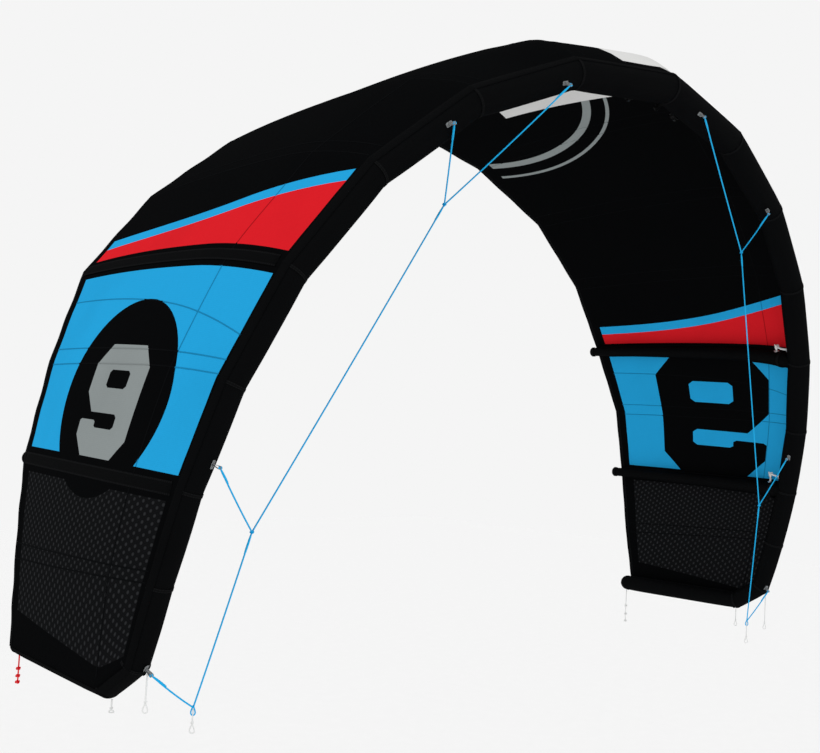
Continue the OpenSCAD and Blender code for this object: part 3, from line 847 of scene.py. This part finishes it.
def seam_key(u, v):
    return SEAM_MATS[SEAM_OF[region(u, v)]]


def panel_seam(label, us, vs):
    strip_on_cloth(f"panel_seam_{label}", us, vs, PANEL_SEAM_W, SEAM_MATS, seam_key, "canopy_black")


def build_panel_seams():
    """Flat seams where the cloth's panels join: two beside each joint and one along the span."""
    vs = np.concatenate([np.linspace(0.002, 0.06, 10), np.linspace(0.068, 0.975, 110)])
    for side, s in SIDES.items():
        for i in range(1, SEGS):
            if i in STRUT_JOINTS.values():
                continue
            for part, (front, rear) in (("a", (-0.15, -0.12)), ("b", (-0.03, 0.04))):
                panel_seam(f"{side}_{i}{part}", s * (i + mix(front, rear, vs)), vs)
        panel_seam(f"{side}_cut", s * (4.37 + 0.05 * (1 - vs) + 0.22 * (1 - vs) ** 4), vs)
    us = np.linspace(-7.9, 7.9, 16 * 48 - 1)
    panel_seam("span", us, np.full_like(us, SPAN_SEAM_V))


def build_strut_bands():
    """The wide black tape over each strut, with stitching along its edges."""
    vs = np.linspace(0.01, 0.975, 40)
    for which, i in STRUT_JOINTS.items():
        for side, s in SIDES.items():
            name, us = f"strut_tape_{which}_{side}", np.full_like(vs, s * i)
            strip_on_cloth(name, us, vs, TAPE_W, ["band"], lambda u, v: "band", "band_cloth")


def build_hem():
    """The folded tape along the trailing edge, one band from wingtip to wingtip."""
    us = np.linspace(-SEGS + 0.002, SEGS - 0.002, 16 * 12 + 1)
    a = hem_start(us)
    lower, mid, upper = cloth(us, a), cloth(us, (a + 1) / 2), cloth(us, np.ones_like(us))
    n = cloth_out(us, np.full_like(us, 0.97)) * 0.0014
    back = unit(upper - lower) * 0.001
    rings = np.stack([
        lower - n, mid - n, upper - n, upper + back, upper + n * 0.6, mid + n * 0.8, lower + n * 0.6,
    ], 1)
    across = np.array([-0.5, 0, 0.5, 0.55, 0.5, 0, -0.5]) * HEM_W
    uv = grid_uv(lengths_along(mid), across)
    lofted("trailing_edge_tape", rings, "hem", uv=uv, slot="hem_tape", replaces=["trailing_edge_hem"])


# ---------- leading edge ----------
TUBE_SIDES = 56
BLADDER_GAP, STRUT_BLADDER_GAP = 0.0045, 0.004
SEG_STEPS = (0.0, 0.012, 0.03, 0.055, 0.09, 0.15, 0.24, 0.36, 0.5, 0.64, 0.76, 0.85, 0.91, 0.945, 0.97, 0.988)


def tube_swell(u, angle):
    """How far the inflated cloth stands off the plain tube: full mid-segment, puckered at the seams."""
    s = u - np.floor(u)
    edge = np.minimum(s, 1 - s) * np.interp(u, np.arange(LAST), SEG_METRES)
    puff = 0.0014 * smooth(0, 0.12, edge)
    a, joint = np.radians(angle), np.floor(u + 0.5)
    wave = np.sin(13 * a + 2.1 * joint) + 0.6 * np.sin(22 * a + 1.3 * joint)
    inner = 0.35 + 0.65 * np.clip(-np.cos(a), 0, 1)
    return puff - 0.0011 * np.exp(-edge / 0.035) * (1 + wave * inner) * smooth(0, 0.006, edge)


def half_tube(inset, sides, steps):
    """Rings of the right half of the leading edge tube, with a dome at its end."""
    uu, aa = np.meshgrid(stations(steps), np.arange(sides) * 360 / sides, indexing="ij")
    swell = tube_swell(uu, aa) if inset == 0 else 0.0
    way = unit(PATH[LAST] - PATH[LAST - 1])
    r = TIP_R - inset
    domes = []
    for a in np.radians((18, 36, 54, 70, 82)):
        o = PATH[LAST] + way * r * math.sin(a)
        domes.append(circle_ring(o, OUTS[LAST], FRONTS[LAST], r * math.cos(a), sides))
    return np.concatenate([tube_point(uu, aa, swell - inset), domes])


def whole_tube(inset, sides, steps):
    half = half_tube(inset, sides, steps)
    return np.concatenate([half[:0:-1] * (-1, 1, 1), half])


def build_leading_edge():
    rings = whole_tube(0, TUBE_SIDES, SEG_STEPS)
    lofted("edge_casing", rings, "edge", slot="edge_cloth", replaces=["le_casing_left", "le_casing_right"])
    rings = whole_tube(BLADDER_GAP, 24, (0.0, 0.25, 0.5, 0.75))
    lofted("edge_bladder", rings, "film", slot="bladder_film", replaces=["le_bladder"])


def tube_band(us, angles, low, high):
    """Rings of a strip on the tube between two angles, from low to high above it."""
    uu, aa = np.meshgrid(us, angles, indexing="ij")
    top = tube_point(uu, aa, high + tube_swell(uu, aa))
    return np.concatenate([top, tube_point(uu, aa, low)[:, ::-1]], 1)


def band_uv(rings, angles, column):
    across = np.radians(angles - np.mean(angles)) * 0.055
    return grid_uv(lengths_along(rings[:, column]), np.concatenate([across, across[::-1]]))


def build_seam_band():
    half = stations((0.0, 0.02, 0.06, 0.15, 0.35, 0.65, 0.85, 0.94, 0.98))
    angles = np.array([BAND[0], BAND[0] + 1, 24, 32, 40, BAND[1] - 1, BAND[1]])
    proud = np.array([0.0006, 0.0026, 0.0030, 0.0030, 0.0030, 0.0026, 0.0006])
    right = tube_band(half, angles, 0.0002, proud)
    rings = np.concatenate([right[:0:-1] * (-1, 1, 1), right])
    lofted("seam_band_tape", rings, "band", uv=band_uv(rings, angles, 3), slot="band_cloth",
           replaces=["seam_band"])


SEAM_W = 0.013
RING_PROFILE = ((-0.5, 0), (-0.42, 1), (0.42, 1), (0.5, 0), (0, -1))


def closed_band_uv(along, width):
    """UVs of a closed band of RING_PROFILE: along runs round the tube."""
    across = [np.full_like(along, x * width) for x, _ in RING_PROFILE]
    return np.concatenate([np.stack([along, row], -1) for row in across])


def build_edge_seams():
    """The flat-felled seam round the tube at every joint, and the long seam along its lower rear."""
    angles = np.arange(72) * 5.0
    long_angles = np.array([252, 254, 262, 264])
    us = stations((0.0, 0.03, 0.1, 0.3, 0.5, 0.7, 0.9, 0.97))
    for side, s in SIDES.items():
        for i in range(0 if side == "right" else 1, LAST):
            rings = []
            for x, h in RING_PROFILE:
                d = x * SEAM_W
                u = i + d / (SEG_METRES[i - 1] if d < 0 and i > 0 else SEG_METRES[i])
                ring = tube_point(np.full_like(angles, abs(u)), angles, 0.0002 + 0.0011 * h)
                rings.append(ring * (-1 if u < 0 else 1, 1, 1))
            uv = closed_band_uv(np.radians(angles) * RADII[i], SEAM_W)
            lofted(f"edge_seam_{side}_{i}", rings, "seam_ring", s, uv, closed=True, slot="edge_cloth")
        rings = tube_band(us, long_angles, 0.0, 0.0010)
        uv = band_uv(rings, long_angles, 0)
        lofted(f"edge_long_seam_{side}", rings, "seam_ring", s, uv, slot="edge_cloth")


# ---------- struts ----------
STRUT_SIDES = 32


def strut_r(s):
    return mix(*STRUT_R, s)


def strut_v(i, s):
    """The chord share above a strut's share s."""
    return mix(RADII[i] / CHORD[0], 1, s)


def strut_axis(i, s):
    s = np.asarray(s, float)
    dip = STRUT_DIP * np.maximum(0, 1 - s / DIP_SHARE) ** 2
    drop = STRUT_GAP + strut_r(s) + dip
    return chord_row(i, strut_v(i, s)) - OUTS[i] * drop[..., None]


def strut_frame(i, s):
    """A strut's direction at share s, up square to it, and across."""
    t = unit(strut_axis(i, np.minimum(1, s + 0.03)) - strut_axis(i, np.maximum(0, s - 0.03)))
    up = square_off(OUTS[i], t)
    return t, up, np.cross(t, up)


def saddle(i, r, extra=0.001):
    """Where a strut of radius r meets the leading edge tube."""
    a = np.arange(STRUT_SIDES) * math.tau / STRUT_SIDES
    high = float((strut_axis(i, 0.0) - PATH[i]) @ OUTS[i])
    x = r * np.sin(a)
    u = i + x / np.where(x < 0, SEG_METRES[i - 1], SEG_METRES[i])
    up = high + r * np.cos(a) + np.abs(x) * 0.11
    angle = -np.degrees(np.arccos(np.clip(up / (at(RADII, u) + extra), -1, 1)))
    return tube_point(u, angle, extra)


def strut_rings(i, inset=0.0):
    rings = [saddle(i, strut_r(0) - inset)]
    for s in (0.045, 0.06, *np.linspace(0.08, 1, 30)):
        _, up, across = strut_frame(i, s)
        swell = 0.0012 * math.sin(math.pi * min(1, s * 1.02)) - 0.0015 * math.exp(-((s - 0.12) / 0.01) ** 2)
        rings.append(circle_ring(strut_axis(i, s), up, across, strut_r(s) - inset + swell, STRUT_SIDES))
    t, up, across = strut_frame(i, 1.0)
    rear = strut_axis(i, 1.0) + t * (STRUT_OVERHANG - inset)
    for back, less in ((0.012, 0.0), (0.0, 0.001)):
        rings.append(circle_ring(rear - t * back, up, across, strut_r(1) - inset - less, STRUT_SIDES))
    return rings


def build_struts():
    for which, i in STRUT_JOINTS.items():
        casing, bladder = strut_rings(i), strut_rings(i, STRUT_BLADDER_GAP)
        for side, s in SIDES.items():
            end = f"{which}_{side}"
            lofted(f"strut_casing_{end}", casing, "strut", s, slot="strut_cloth", replaces=[f"strut_{end}"])
            lofted(f"strut_liner_{end}", bladder, "film", s, slot="bladder_film",
                   replaces=[f"strut_bladder_{end}"])
            build_strut_skirt(i, end, s)
            build_strut_cuffs(i, end, s)
    build_strut_ends()


def build_strut_skirt(i, end, s):
    """The strip of cloth that joins a strut to the canopy above it."""
    lean = math.radians(38)
    for hand, name in ((-1, "inner"), (1, "outer")):
        low, high = [], []
        for q in np.linspace(0.09, 0.985, 40):
            _, up, out = strut_frame(i, q)
            out = out * hand
            way = math.cos(lean) * up + math.sin(lean) * out
            low.append(strut_axis(i, q) + (strut_r(q) + 0.0014) * way)
            reach = (strut_r(q) * 0.95 + 0.006) / SEG_METRES[i if out[0] > 0 else i - 1]
            u = i + math.copysign(reach, float(out @ WAYS[i]))
            high.append(cloth(u, strut_v(i, q), -0.0022))
        low, high = np.array(low), np.array(high)
        n = unit(np.cross(high - low, np.gradient(low, axis=0)))
        mid = (low + high) / 2 - n * 0.002 * hand
        t = n * 0.0008
        rings = np.stack([low, mid, high, high + t, mid + t, low + t], 1)
        lofted(f"strut_skirt_{end}_{name}", rings, "strut", s, slot="strut_cloth")


def build_strut_cuffs(i, end, s):
    """Stitched bands round a strut: the cuff at the leading edge and the closing seam at the rear."""
    for label, start, wide, back in (("front", 0.055, 0.022, 0.0), ("rear", 1.0, 0.016, 0.022)):
        t, up, across = strut_frame(i, start)
        c = strut_axis(i, start) + t * back
        r = strut_r(start)
        heights = (0.0002, 0.0016, 0.0016, 0.0002, -0.0008)
        rings = []
        for (x, _), h in zip(RING_PROFILE, heights):
            rings.append(circle_ring(c + t * x * wide, up, across, r + 0.0012 + h, 40))
        uv = closed_band_uv(np.arange(40) * math.tau / 40 * r, wide)
        lofted(f"strut_cuff_{end}_{label}", rings, "seam_ring", s, uv, closed=True, slot="strut_cloth")


def build_strut_ends():
    """A domed end patch on each strut, all four in one piece."""
    parts = []
    for i in STRUT_JOINTS.values():
        t, up, across = strut_frame(i, 1.0)
        o = strut_axis(i, 1.0) + t * (STRUT_OVERHANG + 0.0002)
        r = strut_r(1) + 0.0004
        rings = [circle_ring(o - t * 0.006, up, across, r + 0.0002, 32)]
        for a in np.radians((0, 20, 40, 60, 78)):
            rings.append(circle_ring(o + t * 0.0115 * math.sin(a), up, across, r * math.cos(a), 32))
        parts += [(np.array(rings) * (s, 1, 1), s) for s in SIDES.values()]
    joined("strut_end_patches", parts, "patch", slot="edge_cloth", replaces=["strut_end_caps"])


# ---------- tabs ----------
def tube_frame(u, angle, s=1):
    """Origin and axes on the tube's surface: along it, round it, outwards. s is -1 on the left."""
    z = unit(tube_way(u, angle))
    x = square_off(at(WAYS, u), z)
    return [p * (s, 1, 1) for p in (tube_point(u, angle, 0.0003), x, np.cross(z, x), z)]


def loop_profile(height, r, foot):
    """A teardrop: up one leg, round the eye and down the other."""
    leg = [(foot, 0.0), (foot * 0.8, height * 0.25), (r * 0.9, height - r * 1.2)]
    eye = [(r * math.cos(a), height + r * math.sin(a)) for a in np.radians(np.arange(200, -21, -20))]
    return np.array([(-x, z) for x, z in leg] + eye + leg[::-1])


def webbing_loop(o, x, y, z, height, r, foot, width, thick):
    """Rings of a flat band folded into a loop; its width runs along y."""
    prof = loop_profile(height, r, foot)
    way = unit(np.gradient(prof, axis=0))
    out = np.stack([way[:, 1], -way[:, 0]], -1) * thick
    rings = []
    for w, h in ((-0.5, 0), (0.5, 0), (0.5, 1), (-0.5, 1)):
        q = prof + out * h
        rings.append(o + q[:, :1] * x + q[:, 1:] * z + y * w * width)
    return np.stack(rings, 1)


CORNER_R = 0.004


def patch_rings(o, x, y, z, long, wide, thick, r):
    """A thin patch with rounded corners, bowed to lie on a tube of radius r along x."""
    outline = []
    for cx, cy, a0 in ((1, 1, 0), (-1, 1, 90), (-1, -1, 180), (1, -1, 270)):
        for a in np.radians((a0, a0 + 30, a0 + 60, a0 + 90)):
            x_mid, y_mid = cx * (long / 2 - CORNER_R), cy * (wide / 2 - CORNER_R)
            outline.append((x_mid + CORNER_R * math.cos(a), y_mid + CORNER_R * math.sin(a)))
    px, py = np.array(outline).T[..., None]
    rings = []
    for h, k in ((-0.0004, 1.0), (thick, 0.985), (thick * 1.2, 0.9)):
        drop = r - np.sqrt(np.maximum(r * r - (py * k) ** 2, 0))
        rings.append(o + x * px * k + y * py * k + z * (h - drop))
    return np.array(rings)


def build_bridle_tabs():
    parts = []
    for side, s in SIDES.items():
        for u, angle in zip(TAB_STATIONS[side], TAB_ANGLES[side]):
            axes = tube_frame(u, angle, s)
            parts.append((patch_rings(*axes, 0.030, 0.016, 0.0012, at(RADII, u)), s))
            parts.append((webbing_loop(*axes, TAB_EYE - 0.0003, 0.0055, 0.0035, 0.010, 0.0014), -s))
    joined("bridle_tab_loops", parts, "webbing", slot="webbing", replaces=["bridle_tabs"])
    axes = tube_frame(0.08, 235)
    parts = [
        (patch_rings(*axes, 0.034, 0.022, 0.0015, 0.062), 1),
        (webbing_loop(*axes, 0.028, 0.0075, 0.006, 0.018, 0.0016), -1),
    ]
    joined("leash_tab_loop", parts, "leash_webbing", slot="webbing", replaces=["pump_leash_tab"])


# ---------- bridle lines and pigtails ----------
LINE_STEPS = 16
LINE_SAG = 0.004


CORD_FILL = 0.42
HITCH, JOIN, TAIL_KNOT, EYE_KNOT = 0.0075, 0.009, 0.012, 0.006
EYE_LONG, EYE_WIDE, LEAST_CORD = 0.030, 0.018, 0.032
KNOT_SHARES = (0.5, 0.76, 0.98)
BRIDLE = {"mat": "bridle", "slot": "bridle_line", "body": "kite", "thick": LINE_D}
DOWN = np.array([0, 0, -1.0])


def tab_eye(side, k):
    return tube_point(TAB_STATIONS[side][k], TAB_ANGLES[side][k], TAB_EYE) * (SIDES[side], 1, 1)


def taut(a, b):
    s = np.linspace(0, 1, LINE_STEPS + 1)[:, None]
    return mix(a, b, s) + DOWN * LINE_SAG * 4 * s * (1 - s)


def hanging(a, drop):
    return a + DOWN * drop * np.linspace(0, 1, LINE_STEPS + 1)[:, None]


def line_piece(name, route, mat, slot, body, thick):
    dense = [mix(a, b, q) for a, b in zip(route[:-1], route[1:]) for q in (0, 0.5)]
    rings = tube_along([*dense, route[-1]], thick / 2)
    return lofted(f"{name}_cord", rings, mat, body=body, slot=slot, replaces=[name])


def closed_cord(name, points, mat, slot, body, thick):
    """A piece of cord whose ends meet."""
    n, m = 10, len(points)
    r = thick * CORD_FILL
    ways = unit(np.roll(points, -1, 0) - np.roll(points, 1, 0))
    ups = [square_off((0.2, 0.9, 0.35), ways[0])]
    for t in ways[1:]:
        ups.append(square_off(ups[-1], t))
    end = square_off(ups[-1], ways[0])
    twist = math.atan2(float(np.cross(ups[0], end) @ ways[0]), float(ups[0] @ end))
    rings = []
    for j, (p, t, up) in enumerate(zip(points, ways, ups)):
        turn = -twist * j / m
        f = up * math.cos(turn) + np.cross(t, up) * math.sin(turn)
        rings.append(circle_ring(p, f, np.cross(t, f), r, n))
    step = np.linalg.norm(np.roll(points, -1, 0) - points, axis=1)
    along = np.concatenate([[0], np.cumsum(step)[:-1]])
    uv = grid_uv(along, np.arange(n) * math.tau * r / n)
    return lofted(name, rings, mat, uv=uv, closed=True, body=body, slot=slot)


def knot(name, o, way, size, **look):
    """A small overhand knot: a trefoil of cord squeezed along the line."""
    a = square_off((0.3, 1, 0.2), way)
    b = np.cross(way, a)
    t = np.linspace(0, math.tau, 41)[:-1, None]
    flat = ((np.sin(t) + 2 * np.sin(2 * t)) * a + (np.cos(t) - 2 * np.cos(2 * t)) * b) * 0.62
    return closed_cord(name, o + size / 3 * (flat - np.sin(3 * t) * way), **look)


def eye_loop(name, o, long, wide, **look):
    """A spliced eye at the end of a cord: a long closed loop hanging from o."""
    a = square_off((1, -1, 0), DOWN)
    t = np.linspace(0, math.tau, 33)[:-1, None]
    bulge = np.sin(t) * wide / 2 * (0.55 - 0.45 * np.cos(t)) * 1.3
    return closed_cord(name, o + DOWN * long * (1 - np.cos(t)) / 2 + a * bulge, **look)


def splice(name, a, b, mat, slot, body, thick):
    """The thicker sewn stretch where a cord is spliced back into itself."""
    s = np.linspace(0, 1, 15)
    r = thick / 2 + 0.0011 * np.sin(math.pi * s) ** 0.6 + 0.0003 * np.sin(math.tau * 5 * s)
    return lofted(name, tube_along(mix(a, b, s[:, None]), r), mat, body=body, slot=slot)


def build_bridle(side):
    first, second, end = (np.array(p) for p in JOINS[side])
    eyes = [tab_eye(side, k) for k in range(4)]
    legs = {
        "upper_inner": (eyes[0], first),
        "upper_outer": (eyes[1], first),
        "main": (first, second),
        "middle": (eyes[2], second),
        "lower": (second, end),
        "tip": (eyes[3], end),
    }
    for part, (a, b) in legs.items():
        name = f"bridle_{side}_{part}"
        route = taut(a, b)
        piece = line_piece(name, route, **BRIDLE)
        way = unit(b - a)
        extras = [splice(f"{name}_splice_a", a + way * 0.012, a + way * 0.075, **BRIDLE)]
        label, size = ("join", JOIN) if part in ("main", "lower") else ("hitch", HITCH)
        extras.append(knot(f"{name}_{label}", a, way, size, **BRIDLE))
        if part == "lower":
            extras.append(eye_loop(f"{name}_eye", b - DOWN * 0.006, EYE_LONG, 0.016, **BRIDLE))


def build_pigtails(side):
    starts = {"rear_pigtail": REAR_EXIT, "corner_pigtail": CORNER_EXIT, "tip_pigtail": TIP_EXIT}
    starts = {kind: np.array(p) * (SIDES[side], 1, 1) for kind, p in starts.items()}
    starts["front_loop"] = np.array(JOINS[side][2]) + DOWN * 0.005
    for kind, start in starts.items():
        name = f"{kind}_{side}"
        colour = "red_line" if name == "rear_pigtail_left" else "white_line"
        look = {"mat": colour, "slot": colour, "body": name, "thick": TAIL_D}
        drop = DROPS[kind][side]
        loop = 0.0 if kind == "rear_pigtail" else min(EYE_LONG, drop - LEAST_CORD)
        route = hanging(start, drop - loop)
        piece = line_piece(name, route, **look)
        tail = route[-1]
        if loop:
            extras = [
                knot(f"{name}_knot", tail - DOWN * 0.004, DOWN, EYE_KNOT, **look),
                eye_loop(f"{name}_eye", tail, loop - 0.001, EYE_WIDE, **look),
            ]
        else:
            extras = [
                knot(f"{name}_knot_{j + 1}", start + DOWN * drop * share, DOWN, TAIL_KNOT, **look)
                for j, share in enumerate(KNOT_SHARES)
            ]


def build_pigtail_tabs():
    """Short cloth patches under the wingtip tube that the pigtails hang from."""
    parts = []
    for spot, u in ((REAR_EXIT, 9.98), (CORNER_EXIT, 9.03), (TIP_EXIT, 8.04)):
        base, r = at(PATH, u), at(RADII, u)
        z = unit(spot - base)
        x = square_off(at(WAYS, u), z)
        rings = patch_rings(base + z * (r + 0.0004), x, np.cross(z, x), z, 0.024, 0.014, 0.0012, r)
        parts += [(rings * (s, 1, 1), s) for s in SIDES.values()]
    joined("pigtail_patches", parts, "patch", slot="edge_cloth")


# ---------- one-pump tubes ----------
TUBE_R = 0.005
ROOT_ANGLE, ROOT_SHIFT = 255, 0.075
STRUT_SHARE = 0.085
TUBE_STEPS = 12


HOSE_LIFT, HOSE_PULL = 0.0003, 0.060


def tube_bend(i):
    u = i - ROOT_SHIFT / mix(*SEG_LEN, (i - 1) / (SEGS - 1))
    way = unit(tube_way(u, ROOT_ANGLE))
    a = tube_point(u, ROOT_ANGLE, HOSE_LIFT) + way * TUBE_R
    b = strut_axis(i, STRUT_SHARE) - WAYS[i] * (strut_r(STRUT_SHARE) + HOSE_LIFT + TUBE_R)
    return a, a + way * HOSE_PULL, b - WAYS[i] * HOSE_PULL, b


def bezier(p, s):
    return (1 - s) ** 3 * p[0] + 3 * s * (1 - s) ** 2 * p[1] + 3 * s * s * (1 - s) * p[2] + s**3 * p[3]


def build_hoses():
    parts = []
    q = np.linspace(0, 1, 2 * TUBE_STEPS + 1)
    r = TUBE_R + 0.0004 * (np.exp(-((q - 0.02) / 0.03) ** 2) + np.exp(-((q - 0.98) / 0.03) ** 2))
    for i in STRUT_JOINTS.values():
        rings = tube_along(bezier(tube_bend(i), q[:, None]), r, 16, OUTS[i])
        parts += [(rings * (s, 1, 1), s) for s in (1, -1)]
    joined("one_pump_hoses", parts, "hose", slot="tube_plastic", replaces=["one_pump_tubes"])


def dress_cad_nodes():
    """The moulded parts keep their CAD shape, with softened edges and their own materials."""
    looks = {"inflate_valve": "valve", "dump_valve": "valve", "inflate_cap": "cap", "dump_cap": "cap",
             "tube_stubs": "hose", "clamp_bases": "clip"}
    looks.update({n: "clip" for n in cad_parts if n.startswith("clamp_lever")})
    for name, mat in looks.items():
        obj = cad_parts[name]
        obj.data.materials.clear()
        obj.data.materials.append(MATS[mat])
        bevel = obj.modifiers.new("softened edges", "BEVEL")
        bevel.width = 0.0004
        bevel.segments = 2
        bevel.limit_method = "ANGLE"
        bevel.angle_limit = math.radians(40)


# ---------- studio ----------
FLOOR_Z, FLOOR_HALF = -8.0, 60.0
CAMERA = (-3.762, -2.463, -1.449)
YAW, PITCH, ROLL = -44.24, 2.95, 3.03
LENS = 48.3
BACKDROP = 0.913

LIGHT_POWER, LIGHT_SPREAD, LIGHT_WAY = 0.38, 60, (0.35, 0.25, -1)


def build_camera():
    yaw, pitch, roll = (math.radians(a) for a in (YAW, PITCH, ROLL))
    ahead = Vector((-math.sin(yaw) * math.cos(pitch), math.cos(yaw) * math.cos(pitch), math.sin(pitch)))
    right = Vector((math.cos(yaw), math.sin(yaw), 0))
    up = right.cross(ahead)
    tilted = right * math.cos(roll) + up * math.sin(roll)
    up = up * math.cos(roll) - right * math.sin(roll)
    data = bpy.data.cameras.new("camera")
    data.lens = LENS
    data.sensor_width = 36
    data.clip_end = 200
    cam = add_object("camera", data)
    turn = Matrix((tilted, up, -ahead)).transposed()
    cam.matrix_world = Matrix.Translation(CAMERA) @ turn.to_4x4()
    bpy.context.scene.camera = cam


def build_soft_light():
    """One very soft light from above, so that the floor is as bright as the backdrop."""
    data = bpy.data.lights.new("soft light", "SUN")
    data.energy = LIGHT_POWER
    data.angle = math.radians(LIGHT_SPREAD)
    obj = add_object("soft light", data)
    obj.rotation_euler = Vector(LIGHT_WAY).to_track_quat("-Z", "Y").to_euler()


def build_studio():
    world = bpy.data.worlds.new("studio")
    world.use_nodes = True
    back = world.node_tree.nodes["Background"]
    back.inputs[0].default_value = rgba(BACKDROP, BACKDROP, BACKDROP)
    back.inputs[1].default_value = 1.0
    bpy.context.scene.world = world
    bpy.context.scene.view_settings.view_transform = "Standard"
    corners = ((-1, -1), (1, -1), (1, 1), (-1, 1))
    mesh = bpy.data.meshes.new("floor")
    mesh.from_pydata([(x * FLOOR_HALF, y * FLOOR_HALF, FLOOR_Z) for x, y in corners], [], [(0, 1, 2, 3)])
    m = Nodes("floor_paint")
    patchy = m.ramp(m.noise(m.place(), 3.0), (0.3, 0.0), (0.7, 1.0))
    tint = m.blend(patchy, rgba(0.89, 0.89, 0.89), rgba(0.90, 0.90, 0.90))
    mesh.materials.append(m.finish(Base_Color=tint, Roughness=0.9, Specular_IOR_Level=0.1))
    add_object("floor", mesh)
    build_soft_light()


build_canopy()
build_panel_seams()
build_strut_bands()
build_hem()
build_leading_edge()
build_seam_band()
build_edge_seams()
build_struts()
build_bridle_tabs()
for side_name in SIDES:
    build_bridle(side_name)
    build_pigtails(side_name)
build_pigtail_tabs()
build_hoses()
dress_cad_nodes()
build_studio()
build_camera()
